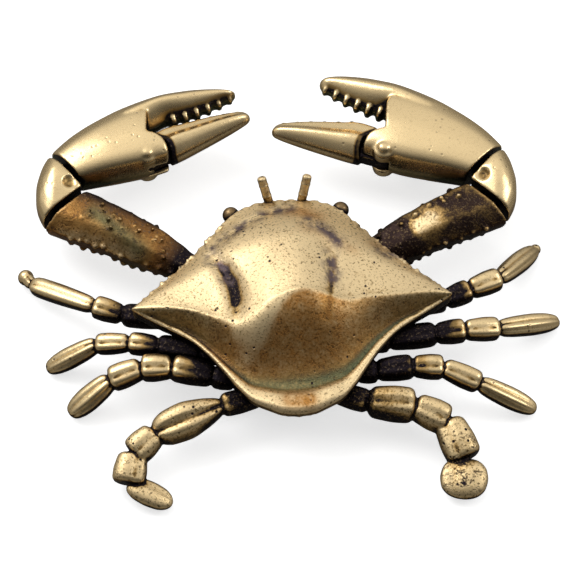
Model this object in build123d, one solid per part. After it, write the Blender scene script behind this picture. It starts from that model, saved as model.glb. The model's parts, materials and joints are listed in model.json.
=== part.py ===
from build123d import *
import math
import os

# Cast brass crab, millimetres. X runs to the crab's right, Y to its front, Z up.
# The origin is the centre of the flat belly that it rests on.

# Driving sizes of the whole figure
half_span = 30.0          # middle to the tips of the widest legs
shell_width = 35.2        # over the two side spines
shell_length = 27.2       # front margin to rear margin
shell_floor = 6.0         # underside of the back shell above the table
shell_top = 12.6          # highest point of the hump
overrun = 1.0             # how far a cutting form runs past what it cuts
leg_sides = 10            # flat facets round each form
underbody_sides = 28
rod_sides = 6
bead_levels = 6

# Back shell
left_groove_depth = 0.95
right_groove_depth = 0.55
groove_width = 0.85
tooth_depth = 0.5
lobe_depth = 0.35
orbit_depth = 0.6
side_teeth = 9

# Underbody
underbody_half_width = 9.3
underbody_half_length = 11.3

# Fits
peg_radius = 0.75
peg_length = 2.4
seat_clearance = 0.02     # fixed pegs and pins in their holes
running_clearance = 0.05  # pin in the bore that turns on it
side_play = 0.10          # tongue between the two ears of its fork
free_gap = 0.32           # between pieces that pass each other

# Legs
leg_width = 2.5
leg_tip_width = 0.9

# Claws
claw_height = 5.6         # middle of elbow, wrist and hand above the table
arm_root_radius = 1.55
arm_length = 18.0         # underbody to the middle of the elbow gap
arm_width = 6.4
arm_depth = 4.5
joint_gap = 0.80          # open gap at elbow and wrist
elbow_slant = 22          # degrees that the elbow gap is turned from square to the arm
wrist_turn = 90           # degrees from the elbow gap to the wrist gap
hand_slant = 17           # degrees that the palm is turned from square to the wrist gap
wrist_inner_edge = 3.1    # elbow pin's line to the inner corner of the wrist
wrist_outer_reach = 3.5
wrist_depth = 5.4
hand_length = 21.6
finger_length = 13.0
pin_setback = 1.9         # elbow and wrist pins behind the gap's middle
elbow_pin_length = 4.2
wrist_pin_length = 4.8
finger_boss_height = 4.3
finger_pin_length = 4.8   # stands a little proud of its boss at both ends
hinge_pin_radius = 0.55
tongue_radius = 1.15
tongue_thickness = 1.5
finger_tongue_radius = 1.0
finger_boss_radius = 1.25
fixed_finger_teeth = 8
moving_finger_teeth = 6
finger_tooth_depth = 0.55

# Eyes and antennae
eye_radius = 0.95
eye_stalk_radius = 0.55
eye_stalk_length = 1.6
antenna_radius = 0.5
antenna_length = 3.4

# Outline of the back shell: shares of half its width and of its length ahead of and behind the spines
front_edge_shares = [(0.0, 1.0), (0.15, 0.985), (0.28, 0.93), (0.36, 0.85), (0.47, 0.71),
                     (0.57, 0.56), (0.68, 0.41), (0.76, 0.31), (0.86, 0.19), (1.0, 0.0)]
rear_edge_shares = [(0.0, 1.0), (0.18, 0.975), (0.28, 0.90), (0.36, 0.77), (0.44, 0.61),
                    (0.53, 0.44), (0.64, 0.29), (0.76, 0.19), (0.88, 0.10), (1.0, 0.0)]
front_share = 0.49        # part of the shell's length that lies ahead of the spines
lobed_to_share = 0.30      # rounded lobes between the eyes
lobes = 4
toothed_from_share = 0.40  # teeth from the orbits out to the spines
toothed_to_share = 0.95
lobe_crest_shares = (0.3, 0.75)
tooth_crest_shares = (0.35, 0.60)
spine_height_share = 0.635

# Profiles across the shell: share of the half width, place of the crest as a share of the length behind the
# spines, then the heights of rim, band, valley, crest, brow and front edge as shares of the shell's top
shell_profile_shares = [
    (-1.00, 0.0, 0.611, 0.619, 0.619, 0.635, 0.635, 0.627),
    (-0.90, -0.022, 0.587, 0.611, 0.611, 0.675, 0.659, 0.611),
    (-0.75, -0.065, 0.563, 0.595, 0.595, 0.730, 0.706, 0.603),
    (-0.60, -0.130, 0.556, 0.587, 0.579, 0.762, 0.746, 0.611),
    (-0.45, -0.216, 0.548, 0.587, 0.563, 0.786, 0.794, 0.619),
    (-0.30, -0.245, 0.548, 0.587, 0.556, 0.857, 0.849, 0.627),
    (-0.12, -0.144, 0.548, 0.595, 0.556, 0.968, 0.905, 0.635),
    (0.05, -0.094, 0.548, 0.595, 0.556, 1.0, 0.921, 0.635),
    (0.20, -0.115, 0.548, 0.595, 0.556, 0.944, 0.889, 0.635),
    (0.32, -0.137, 0.548, 0.587, 0.556, 0.849, 0.833, 0.627),
    (0.45, -0.094, 0.548, 0.587, 0.563, 0.794, 0.786, 0.619),
    (0.60, -0.065, 0.556, 0.587, 0.579, 0.762, 0.738, 0.611),
    (0.75, -0.029, 0.563, 0.595, 0.595, 0.722, 0.698, 0.603),
    (0.90, 0.0, 0.587, 0.611, 0.611, 0.675, 0.659, 0.611),
    (1.00, 0.0, 0.611, 0.619, 0.619, 0.635, 0.635, 0.627)]
rim_band_share = 0.87
valley_share = 0.70
crest_limit_share = 0.55
shell_row_shares = [0, 1, 2, 2.33, 2.67, 3, 3.3, 3.6, 4, 4.33, 4.67, 5]

# Grooves beside the hump: places ahead of the spines and across, as shares of front length and half width
left_groove_shares = [(-0.218, -0.352), (-0.060, -0.347), (0.098, -0.364), (0.255, -0.409), (0.405, -0.477)]
right_groove_shares = [(-0.270, 0.205), (-0.060, 0.227), (0.105, 0.250), (0.255, 0.261), (0.420, 0.227)]
groove_fade_share = 0.6

half_width = shell_width / 2
front_length = shell_length * front_share
rear_length = shell_length - front_length


def between(table, place):
    """Straight interpolation in a table of (place, value) pairs."""
    for (low, value), (high, next_value) in zip(table, table[1:]):
        if place <= high:
            return value + (next_value - value) * (place - low) / (high - low)
    return table[-1][1]


def smooth_between(table, place):
    """Smooth interpolation in a table of (place, value) pairs that never swings past its values."""
    places = [row[0] for row in table]
    values = [row[1] for row in table]
    place = min(max(place, places[0]), places[-1])
    rises = [(b - a) / (q - p) for a, b, p, q in zip(values, values[1:], places, places[1:])]
    slopes = [rises[0]]
    for before, after in zip(rises, rises[1:]):
        slopes.append(2 * before * after / (before + after) if before * after > 0 else 0)
    slopes.append(rises[-1])
    cell = max(number for number in range(len(rises)) if place >= places[number])
    width = places[cell + 1] - places[cell]
    share = (place - places[cell]) / width
    rest = 1 - share
    bend = width * share * rest * (slopes[cell] * rest - slopes[cell + 1] * share)
    return values[cell] * (1 + 2 * share) * rest ** 2 + values[cell + 1] * share ** 2 * (3 - 2 * share) + bend


def groove(x, y, table, depth):
    """How deep one of the two curved grooves is at a place."""
    line = [(front_length * along, half_width * across) for along, across in table]
    start, end = line[0][0], line[-1][0]
    if not start < y < end:
        return 0
    reach = math.sin(math.pi * (y - start) / (end - start)) ** groove_fade_share
    away = (x - smooth_between(line, y)) / groove_width
    return depth * reach * math.exp(-away * away)


def shell_column(x, front):
    """Points of the upper face from the rear margin to the front one, at one place across the shell."""
    side = x / half_width
    rear = rear_point(x)
    crest = rear_length * smooth_between([(row[0], row[1]) for row in shell_profile_shares], side)
    crest = max(crest, rear * crest_limit_share)
    knots = [rear]
    knots += [rear * share + crest * (1 - share) for share in (rim_band_share, valley_share)]
    knots += [crest, (crest + front) / 2, front]
    heights = [shell_top * smooth_between([(row[0], row[column]) for row in shell_profile_shares], side)
               for column in range(2, 8)]
    points = []
    for place in shell_row_shares:
        cell = min(int(place), len(knots) - 2)
        y = knots[cell] + (knots[cell + 1] - knots[cell]) * (place - cell)
        height = smooth_between(list(enumerate(heights)), place)
        height -= groove(x, y, left_groove_shares, left_groove_depth)
        height -= groove(x, y, right_groove_shares, right_groove_depth)
        points.append(Vector(x, y, height))
    return points


def front_point(side, inset):
    """Point of the front margin at a share of the half width, set back between two teeth."""
    return half_width * side, front_length * between(front_edge_shares, side) - inset


def front_margin():
    """Right half of the toothed front margin, from the middle to the spine."""
    points = [front_point(0, 0)]
    lobe = lobed_to_share / lobes
    for number in range(lobes):
        for share in lobe_crest_shares:
            points.append(front_point(lobe * (number + share), 0))
        points.append(front_point(lobe * (number + 1), lobe_depth))
    points.append(front_point(toothed_from_share, orbit_depth))
    step = (toothed_to_share - toothed_from_share) / side_teeth
    for number in range(side_teeth):
        start = toothed_from_share + step * number
        for share in tooth_crest_shares:
            points.append(front_point(start + step * share, 0))
        points.append(front_point(start + step, tooth_depth))
    points.append((half_width, 0))
    return points


def rear_point(x):
    """Height along Y of the smooth rear margin at one place across the shell."""
    return -rear_length * between(rear_edge_shares, min(abs(x) / half_width, 1))


def oval_ring(plane, half_wide, half_deep, sides):
    """Corners of an oval with flat sides, in a plane."""
    angles = [2 * math.pi * number / sides for number in range(sides)]
    corners = [(half_wide * math.cos(angle), half_deep * math.sin(angle)) for angle in angles]
    return [plane.from_local_coords((x, y, 0)) for x, y in corners]


def facet(*corners):
    return Face(Wire.make_polygon([Vector(*corner) for corner in corners]))


def between_rings(lower, upper):
    """Flat facets that join two rings of as many points."""
    faces = []
    for number in range(len(lower)):
        after = (number + 1) % len(lower)
        faces.append(facet(lower[number], lower[after], upper[after]))
        faces.append(facet(lower[number], upper[after], upper[number]))
    return faces


def ring_solid(rings):
    """Closed solid through a row of flat rings, faceted like a chased casting."""
    faces = [facet(*rings[0]), facet(*rings[-1])]
    for lower, upper in zip(rings, rings[1:]):
        faces += between_rings(lower, upper)
    return Solid(Shell(faces))


def shell_body():
    """Flat underneath, a low wall round the margin, and facets over the humped upper face."""
    right = front_margin()
    front = [(-x, y) for x, y in right[:0:-1]] + right
    columns = [shell_column(x, y) for x, y in front[1:-1]]
    spines = [Vector(x, 0, shell_top * spine_height_share) for x in (-half_width, half_width)]
    rim = [spines[0]] + [column[-1] for column in columns]
    rim += [spines[1]] + [column[0] for column in reversed(columns)]
    floor = [Vector(corner.X, corner.Y, shell_floor) for corner in rim]
    faces = [facet(*floor)]
    for number in range(len(rim)):
        faces.append(facet(floor[number - 1], floor[number], rim[number], rim[number - 1]))
    for left, right in zip(columns, columns[1:]):
        for row in range(len(left) - 1):
            faces.append(facet(left[row], right[row], right[row + 1]))
            faces.append(facet(left[row], right[row + 1], left[row + 1]))
    for spine, column in zip(spines, (columns[0], columns[-1])):
        faces += [facet(spine, low, high) for low, high in zip(column, column[1:])]
    return Solid(Shell(faces))


def direction(start, end):
    return (Vector(*end) - Vector(*start)).normalized()


def rod(start, end, radius):
    """Six-sided rod between two points."""
    start = Vector(*start)
    span = Vector(*end) - start
    return extrude(Plane(origin=start, z_dir=span) * RegularPolygon(radius, rod_sides), span.length)


# Eyes: beads on stalks in the orbits. Antennae: rods that lean forwards.
eye_place_shares = (0.345, 0.91)
eye_stalk_lean_share = 0.35
eye_height = 7.0
antenna_base_shares = (0.10, 0.975)
antenna_base_height = 7.6
antenna_lean_shares = (0.24, 0.52, 0.82)
antenna_seat = 1.7


def eye_centre(side):
    x = side * half_width * eye_place_shares[0]
    return x, front_length * eye_place_shares[1], eye_height


def eye_stalk(side, radius, length):
    centre = Vector(*eye_centre(side))
    inward = Vector(-side * eye_stalk_lean_share, -1, 0).normalized()
    return rod(centre, centre + inward * length, radius)


def bead(radius):
    """Round bead cut with flat facets."""
    rings = []
    for level in range(1, bead_levels):
        angle = math.pi * level / bead_levels
        plane = Plane(origin=(0, 0, -radius * math.cos(angle)))
        rings.append(oval_ring(plane, radius * math.sin(angle), radius * math.sin(angle), leg_sides))
    return ring_solid(rings)


def eye(side):
    reach = eye_radius + eye_stalk_length
    return Pos(*eye_centre(side)) * bead(eye_radius) + eye_stalk(side, eye_stalk_radius, reach)


def eye_socket(side):
    reach = eye_radius + eye_stalk_length + seat_clearance
    orbit = Pos(*eye_centre(side)) * Cylinder(eye_radius + seat_clearance, 4 * eye_radius)
    return orbit + eye_stalk(side, eye_stalk_radius + seat_clearance, reach)


def antenna_line(side):
    """Foot and tip of the rod, the foot lying inside the front margin."""
    lean = [share * antenna_length for share in antenna_lean_shares]
    lean = Vector(side * lean[0], lean[1], lean[2]).normalized()
    base = Vector(side * half_width * antenna_base_shares[0],
                  front_length * antenna_base_shares[1], antenna_base_height)
    return base - lean * antenna_seat, base + lean * antenna_length


def antenna(side):
    foot, tip = antenna_line(side)
    return rod(foot, tip, antenna_radius)


def antenna_socket(side):
    foot, tip = antenna_line(side)
    lean = (tip - foot).normalized()
    return rod(foot - lean * seat_clearance, tip, antenna_radius + seat_clearance)


def carapace():
    shell = shell_body()
    for side in (-1, 1):
        shell -= eye_socket(side)
        shell -= antenna_socket(side)
    return shell


# Legs: root first and tip last. The root is in shares of the underbody's half width, half length and the
# shell's floor, the other joints in shares of half the span; each article's width is a share of leg_width.
walking_leg_shares = {
    "left_walking_leg_1": [(-0.903, 0.035, 0.715, 0.90), (-0.430, 0.020, 0.147, 0.95),
                           (-0.620, 0.047, 0.150, 1.00), (-0.723, 0.090, 0.153, 0.98),
                           (-0.945, 0.250, 0.062, 0.80), (-0.997, 0.310, 0.022, 0.55)],
    "left_walking_leg_2": [(-0.865, -0.380, 0.735, 0.90), (-0.340, -0.130, 0.152, 1.00),
                           (-0.497, -0.107, 0.173, 1.00), (-0.600, -0.083, 0.163, 0.95),
                           (-0.720, -0.063, 0.133, 0.90), (-0.905, -0.095, 0.014, 0.70)],
    "left_walking_leg_3": [(-0.716, -0.664, 0.700, 0.90), (-0.300, -0.232, 0.150, 1.00),
                           (-0.450, -0.200, 0.172, 1.15), (-0.560, -0.192, 0.163, 1.15),
                           (-0.675, -0.215, 0.127, 1.10), (-0.828, -0.292, 0.014, 0.80)],
    "right_walking_leg_1": [(0.903, 0.061, 0.715, 0.90), (0.430, 0.030, 0.147, 0.95),
                            (0.567, 0.043, 0.150, 1.00), (0.660, 0.080, 0.155, 0.98),
                            (0.773, 0.130, 0.145, 1.00), (0.925, 0.322, 0.014, 0.70)],
    "right_walking_leg_2": [(0.894, -0.319, 0.735, 0.90), (0.345, -0.117, 0.152, 1.00),
                            (0.520, -0.113, 0.172, 1.05), (0.627, -0.100, 0.165, 1.02),
                            (0.753, -0.080, 0.133, 1.00), (0.985, 0.005, 0.014, 0.72)],
    "right_walking_leg_3": [(0.716, -0.656, 0.735, 0.90), (0.295, -0.247, 0.155, 1.00),
                            (0.427, -0.247, 0.172, 1.05), (0.537, -0.253, 0.165, 1.05),
                            (0.667, -0.310, 0.133, 0.98), (0.870, -0.370, 0.014, 0.72)],
}
# Paddle legs: as above, with the depth share of each article last
paddle_leg_shares = {
    "left_paddle_leg": [(-0.436, -0.863, 0.715, 0.90, 1.0), (-0.277, -0.363, 0.155, 1.00, 1.0),
                        (-0.523, -0.450, 0.128, 1.45, 1.1), (-0.605, -0.515, 0.100, 1.30, 1.0),
                        (-0.630, -0.620, 0.068, 1.45, 0.9), (-0.473, -0.693, 0.030, 1.15, 0.6)],
    "right_paddle_leg": [(0.445, -0.863, 0.715, 0.90, 1.0), (0.257, -0.377, 0.155, 1.00, 1.0),
                         (0.423, -0.395, 0.140, 1.40, 1.2), (0.540, -0.447, 0.108, 1.30, 1.1),
                         (0.597, -0.587, 0.068, 1.55, 0.9), (0.573, -0.737, 0.032, 2.10, 0.6)],
}
article_swell_shares = [(0.05, 0.74), (0.30, 1.0), (0.93, 0.80)]
paddle_swell_shares = [(0.06, 0.60), (0.45, 1.0), (0.85, 0.75)]
last_swell_shares = [(0.05, 0.72), (0.35, 1.0), (0.80, 0.78)]
root_swell_share = 0.9
tip_depth_share = 0.8


def leg_rows(name):
    """Articulation points of one leg as (x, y, z, width, depth)."""
    if name in walking_leg_shares:
        rows = [row + (1.0,) for row in walking_leg_shares[name]]
    else:
        rows = paddle_leg_shares[name]
    scales = [(underbody_half_width, underbody_half_length, shell_floor)]
    scales += [(half_span, half_span, half_span)] * (len(rows) - 1)
    return [(x * across, y * ahead, z * up, leg_width * width, leg_width * width * depth)
            for (x, y, z, width, depth), (across, ahead, up) in zip(rows, scales)]


def cross_section(centre, heading, width, depth):
    """Oval ring square to the heading, its width level."""
    level = Vector(-heading.Y, heading.X, 0)
    plane = Plane(origin=centre, x_dir=level, z_dir=heading)
    return oval_ring(plane, width / 2, depth / 2, leg_sides)


def leg(name):
    """One casting: peg, then articles that swell between narrow joints."""
    rows = leg_rows(name)
    places = [Vector(*row[:3]) for row in rows]
    headings = [(end - start).normalized() for start, end in zip(places, places[1:])]
    first = cross_section(places[0], headings[0], rows[0][3] * root_swell_share,
                          rows[0][4] * root_swell_share)
    sections = [first]
    for number, (start, end) in enumerate(zip(places, places[1:])):
        width, depth = rows[number + 1][3:]
        last = number == len(rows) - 2
        swell = article_swell_shares
        if last:
            swell = paddle_swell_shares if name in paddle_leg_shares else last_swell_shares
        for along, thick in swell:
            centre = start + (end - start) * along
            sections.append(cross_section(centre, headings[number], width * thick, depth * thick))
    tip = cross_section(places[-1], headings[-1], leg_tip_width, leg_tip_width * tip_depth_share)
    sections.append(tip)
    peg = rod(places[0] - headings[0] * peg_length, places[0], peg_radius)
    return ring_solid(sections) + peg


def leg_seat(name):
    """What the underbody gives up for one leg: the peg's hole and room for its first article."""
    rows = leg_rows(name)
    start = Vector(*rows[0][:3])
    heading = direction(rows[0][:3], rows[1][:3])
    foot = start - heading * (peg_length + seat_clearance)
    room = rod(start, start + heading * half_width, rows[1][3] / 2 + free_gap / 2)
    return rod(foot, start, peg_radius + seat_clearance) + room


# Claw arm: (along, height, half width, half depth) as shares of arm_length, claw_height, arm_width, arm_depth
arm_station_shares = [(-0.067, 0.75, 0.190, 0.26), (0.055, 0.75, 0.215, 0.28), (0.165, 0.755, 0.250, 0.30),
                      (0.25, 0.78, 0.320, 0.33), (0.40, 0.88, 0.400, 0.43), (0.66, 0.98, 0.455, 0.49),
                      (0.88, 1.0, 0.500, 0.50), (1.12, 1.0, 0.530, 0.50)]
arm_section_shares = [(1.0, -0.15), (0.62, 0.92), (-0.45, 1.0), (-1.0, 0.25), (-0.70, -0.90), (0.55, -1.0)]
arm_seat_share = -0.067
arm_root_shares = {"right": (0.613, 0.539), "left": (0.903, 0.531)}    # of the underbody's half sizes
arm_headings = {"right": 22.4, "left": 28.5}    # degrees forward of straight out to the side
wrist_rest = {"right": -1, "left": 2}           # degrees each wrist stands turned from its middle
finger_rest = {"right": 9, "left": -6}          # degrees each finger stands open
palm_end_shares = {"right": 0.590, "left": 0.490}
palm_inner_shares = {"right": 1.0, "left": 0.72}    # the left claw is the slimmer one
fixed_finger_inner_shares = {"right": 0.0, "left": -0.035}
finger_width_shares = {"right": 1.0, "left": 0.85}
finger_pin_shares = {"right": (0.500, 0.180), "left": (0.410, 0.090)}
finger_travel = (-7, 10)
elbow_travel = (-5, 0)     # outwards only: inwards the two claws would meet
wrist_travel = (-7, 2)

# Wrist: plan outline around the elbow gap's middle, as shares of arm_width, and its layers
wrist_outline_shares = [(-0.30, 0.50), (-0.05, -0.42), (0.22, -0.42), (0.48, -0.20), (0.66, 0.15),
                        (0.74, 0.55), (0.70, 0.90), (0.40, 1.00)]
wrist_layer_shares = [(-0.50, 0.66), (-0.24, 1.0), (0.24, 1.0), (0.50, 0.62)]
wrist_middle_shares = (0.32, 0.28)

# Hand: (along, outer side, inner side, half depth) as shares of hand_length
palm_station_shares = [(-0.08, -0.120, 0.090, 0.085), (0.02, -0.170, 0.125, 0.105),
                       (0.12, -0.208, 0.150, 0.122), (0.26, -0.240, 0.188, 0.135),
                       (0.42, -0.260, 0.224, 0.138), (0.62, -0.252, 0.236, 0.124)]
palm_section_shares = [(1.0, 0.0), (0.80, 0.52), (0.52, 0.90), (0.10, 1.0), (-0.45, 0.88), (-0.86, 0.50),
                       (-1.0, 0.0), (-0.84, -0.50), (-0.30, -0.95), (0.35, -0.92), (0.82, -0.55)]
fixed_section_shares = [(1.0, 0.0), (0.75, 0.42), (0.25, 0.86), (-0.25, 1.0), (-0.80, 0.58), (-1.0, 0.0),
                        (-0.75, -0.60), (0.10, -0.90), (0.75, -0.45)]
moving_section_shares = [(1.0, 0.0), (0.85, 0.40), (0.45, 0.80), (-0.05, 1.0), (-0.72, 0.62), (-1.0, 0.0),
                         (-0.75, -0.60), (0.10, -0.95), (0.80, -0.50)]
fixed_finger_shares = [(0.49, -0.255, -0.030, 0.105), (0.60, -0.250, -0.045, 0.100),
                       (0.74, -0.229, -0.019, 0.086), (0.88, -0.185, -0.032, 0.065),
                       (0.963, -0.139, -0.055, 0.042), (1.0, -0.105, -0.085, 0.018)]
fixed_finger_root_share = 0.4
fixed_teeth_from_share = 0.62
fixed_teeth_to_share = 0.95
# Movable finger: the same, as shares of finger_length from its pin
moving_finger_shares = [(0.200, -0.250, 0.096, 0.125), (0.27, -0.257, 0.099, 0.140),
                        (0.47, -0.169, 0.092, 0.125), (0.735, -0.081, 0.074, 0.096),
                        (0.94, -0.015, 0.051, 0.052), (1.0, 0.007, 0.029, 0.018)]
claw_tooth_crest_shares = (0.35, 0.75)
moving_teeth_from_share = 0.25
moving_teeth_to_share = 0.90

elbow_gap_middle = Vector(arm_length, 0, 0)
elbow_normal = Vector(1, 0, 0).rotate(Axis.Z, elbow_slant)
wrist_normal = elbow_normal.rotate(Axis.Z, wrist_turn)
inner_corner = elbow_gap_middle + elbow_normal.rotate(Axis.Z, 90) * wrist_inner_edge
wrist_gap_middle = inner_corner + wrist_normal.rotate(Axis.Z, -90) * wrist_outer_reach
elbow_axis = elbow_gap_middle - elbow_normal * pin_setback
wrist_axis = wrist_gap_middle - wrist_normal * pin_setback
palm_face = Vector(1, 0, 0).rotate(Axis.Z, -hand_slant)


def turned_about(point, angle):
    """Placement that turns a shape about an upright line through a point."""
    return Pos(point.X, point.Y, 0) * Rot(0, 0, angle) * Pos(-point.X, -point.Y, 0)


def lift(point):
    """Placement on an upright hinge line, at the claws' middle height."""
    return Pos(point.X, point.Y, claw_height)


def tongue(radius, length):
    """Flat eye of a hinge, round about the pin, reaching forwards into its own piece."""
    plate = Box(length, 2 * radius, tongue_thickness, align=(Align.MIN, Align.CENTER, Align.CENTER))
    return plate + Cylinder(radius, tongue_thickness)


def slot(radius, length, travel):
    """Room that the eye needs between the two ears, over its whole travel."""
    room = radius + free_gap
    height = tongue_thickness + 2 * side_play
    shape = Cylinder(room, height)
    for angle in travel:
        reach = Box(length, 2 * room, height, align=(Align.MIN, Align.CENTER, Align.CENTER))
        shape += Rot(0, 0, angle) * reach
    return shape


def pin(length):
    """Plain hinge pin."""
    return Cylinder(hinge_pin_radius, length)


def pin_hole():
    """Hole for a pin through both ears of a fork."""
    return Cylinder(hinge_pin_radius + seat_clearance, 2 * arm_depth)


def eye_bore():
    """Bore of a hinge's eye, running on its pin."""
    return Cylinder(hinge_pin_radius + running_clearance, tongue_thickness + overrun)


def behind(point, normal, reach):
    """Block that fills one side of an upright gap face."""
    block = Box(reach, 2 * reach, 2 * reach, align=(Align.MAX, Align.CENTER, Align.CENTER))
    return Plane(origin=(point.X, point.Y, claw_height), x_dir=normal, z_dir=(0, 0, 1)) * block


def arm_section(row):
    along, height, width, depth = row
    plane = Plane(origin=(arm_length * along, 0, claw_height * height), x_dir=(0, 1, 0), z_dir=(1, 0, 0))
    corners = [(arm_width * width * y, arm_depth * depth * z) for y, z in arm_section_shares]
    return [plane.from_local_coords((y, z, 0)) for y, z in corners]


def arm_peg(radius, start, end):
    height = claw_height * arm_station_shares[0][1]
    return rod((start, 0, height), (end, 0, height), radius)


def arm():
    """Upper arm, pegged into the underbody and ending in the fork of the elbow."""
    body = ring_solid([arm_section(row) for row in arm_station_shares])
    seat = arm_length * arm_seat_share
    body += arm_peg(peg_radius, seat - peg_length, seat)
    face = elbow_gap_middle - elbow_normal * (joint_gap / 2)
    body &= behind(face, elbow_normal, 3 * arm_length)
    body -= lift(elbow_axis) * Rot(0, 0, elbow_slant) * slot(tongue_radius, arm_width, elbow_travel)
    return body - lift(elbow_axis) * pin_hole()


def arm_seat():
    """What the underbody gives up for one arm: the peg's hole and room for the arm's root."""
    seat = arm_length * arm_seat_share
    hole = arm_peg(peg_radius + seat_clearance, seat - peg_length - seat_clearance, seat)
    return hole + arm_peg(arm_root_radius + free_gap, seat, half_width)


def wrist_layer(height, size):
    middle = Vector(arm_length + arm_width * wrist_middle_shares[0], arm_width * wrist_middle_shares[1], 0)
    corners = []
    for x, y in wrist_outline_shares:
        corner = Vector(arm_length + arm_width * x, arm_width * y, 0)
        corner = middle + (corner - middle) * size
        corners.append(Vector(corner.X, corner.Y, claw_height + wrist_depth * height))
    return corners


def wrist():
    """Wedge between elbow and wrist: an eye towards the arm and a fork towards the hand."""
    body = ring_solid([wrist_layer(*row) for row in wrist_layer_shares])
    near_face = elbow_gap_middle + elbow_normal * (joint_gap / 2)
    far_face = wrist_gap_middle - wrist_normal * (joint_gap / 2)
    body -= behind(near_face, elbow_normal, 2 * arm_width)
    body &= behind(far_face, wrist_normal, 3 * arm_width)
    body += lift(elbow_axis) * Rot(0, 0, elbow_slant) * tongue(tongue_radius, pin_setback + 2 * joint_gap)
    body -= lift(elbow_axis) * eye_bore()
    turn = elbow_slant + wrist_turn
    body -= lift(wrist_axis) * Rot(0, 0, turn) * slot(tongue_radius, arm_width, wrist_travel)
    return body - lift(wrist_axis) * pin_hole()


def claw_ring(along, outer, inner, depth, section):
    """Corners of the upright section across a hand or finger."""
    plane = Plane(origin=(along, (outer + inner) / 2, claw_height), x_dir=(0, 1, 0), z_dir=(1, 0, 0))
    half_wide = (inner - outer) / 2
    return [plane.from_local_coords((half_wide * y, depth * z, 0)) for y, z in section]


def claw_body(shares, length, section):
    return ring_solid([claw_ring(*[length * share for share in row], section) for row in shares])


def edge_at(table, column, along):
    return between([(row[0], row[column]) for row in table], along)


def toothed_room(table, length, column, teeth, start, end, base):
    """Upright prism that keeps a finger but notches one of its edges into teeth."""
    step = (end - start) / teeth
    outward = 1 if column == 2 else -1
    corners = [(base, -outward), (base, outward), (start, outward)]
    for number in range(teeth):
        low = edge_at(table, column, start + step * number) - outward * finger_tooth_depth / length
        corners.append((start + step * number, low))
        for share in claw_tooth_crest_shares:
            crest = start + step * (number + share)
            corners.append((crest, edge_at(table, column, crest)))
    low = edge_at(table, column, end) - outward * finger_tooth_depth / length
    corners += [(end, low), (end, outward), (1 + overrun / length, outward), (1 + overrun / length, -outward)]
    outline = Polyline(*[(length * x, length * y) for x, y in corners], close=True)
    return extrude(Pos(0, 0, claw_height - arm_depth) * make_face(outline), 2 * arm_depth)


def finger_axis(side):
    """Place of the movable finger's pin in the hand's own frame."""
    along, across = finger_pin_shares[side]
    return Vector(hand_length * along, hand_length * across, 0)


def hand(side):
    """Palm and fixed finger in one, with the wrist's eye and the ears of the finger's hinge."""
    slim = palm_inner_shares[side]
    palm_shares = [(along, outer, inner * slim, deep) for along, outer, inner, deep in palm_station_shares]
    shift = fixed_finger_inner_shares[side]
    finger_shares = [(along, outer, inner + shift, deep) for along, outer, inner, deep in fixed_finger_shares]
    palm = claw_body(palm_shares, hand_length, palm_section_shares)
    palm &= behind(Vector(hand_length * palm_end_shares[side], 0, 0), Vector(1, 0, 0), 3 * hand_length)
    finger = claw_body(finger_shares, hand_length, fixed_section_shares)
    finger &= toothed_room(finger_shares, hand_length, 2, fixed_finger_teeth,
                           fixed_teeth_from_share, fixed_teeth_to_share, fixed_finger_root_share)
    boss = Cylinder(finger_boss_radius, finger_boss_height)
    body = palm + finger + lift(finger_axis(side)) * boss
    body -= behind(palm_face * (joint_gap / 2), palm_face, hand_length)
    knuckle = lift(palm_face * -pin_setback)
    body += knuckle * Rot(0, 0, -hand_slant) * tongue(tongue_radius, pin_setback + 2 * joint_gap)
    body -= knuckle * eye_bore()
    body -= lift(finger_axis(side)) * slot(finger_tongue_radius, finger_length, finger_travel)
    return body - lift(finger_axis(side)) * pin_hole()


def finger(side):
    """Movable finger, hinged on an eye at its root."""
    slim = finger_width_shares[side]
    shares = [(along, outer * slim, inner * slim, deep) for along, outer, inner, deep in moving_finger_shares]
    body = claw_body(shares, finger_length, moving_section_shares)
    body &= toothed_room(shares, finger_length, 1, moving_finger_teeth,
                         moving_teeth_from_share, moving_teeth_to_share, 0)
    root = finger_length * moving_finger_shares[0][0]
    body += Pos(0, 0, claw_height) * tongue(finger_tongue_radius, root + 2 * joint_gap)
    return body - Pos(0, 0, claw_height) * eye_bore()


def claw(side):
    """The seven pieces of one claw, in place."""
    along, ahead = arm_root_shares[side]
    place = Pos(along * underbody_half_width, ahead * underbody_half_length, 0)
    place *= Rot(0, 0, arm_headings[side])
    hand_place = place * turned_about(wrist_axis, wrist_rest[side])
    turn = elbow_slant + wrist_turn + hand_slant
    hand_place *= Pos(wrist_gap_middle.X, wrist_gap_middle.Y, 0) * Rot(0, 0, turn)
    finger_pin = finger_axis(side)
    finger_place = hand_place * Pos(finger_pin.X, finger_pin.Y, 0) * Rot(0, 0, finger_rest[side])
    pieces = {
        "upper_arm": place * arm(),
        "wrist": place * wrist(),
        "hand": hand_place * hand(side),
        "finger": finger_place * finger(side),
        "elbow_pin": place * lift(elbow_axis) * pin(elbow_pin_length),
        "wrist_pin": place * lift(wrist_axis) * pin(wrist_pin_length),
        "finger_pin": finger_place * Pos(0, 0, claw_height) * pin(finger_pin_length),
        "seat": place * arm_seat(),
    }
    if side == "left":
        pieces = {name: mirror(piece, about=Plane.YZ) for name, piece in pieces.items()}
    return pieces


# Underbody: (height, half width, half length) as shares of the shell's floor and the bulge
underbody_level_shares = [(0, 0.69, 0.67), (0.12, 0.86, 0.85), (0.57, 1.0, 1.0), (1, 0.98, 0.98)]


def underbody(seats):
    levels = []
    for height, width, length in underbody_level_shares:
        plane = Plane(origin=(0, 0, shell_floor * height))
        wide = underbody_half_width * width
        levels.append(oval_ring(plane, wide, underbody_half_length * length, underbody_sides))
    body = ring_solid(levels)
    for seat in seats:
        body -= seat
    return body


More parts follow.
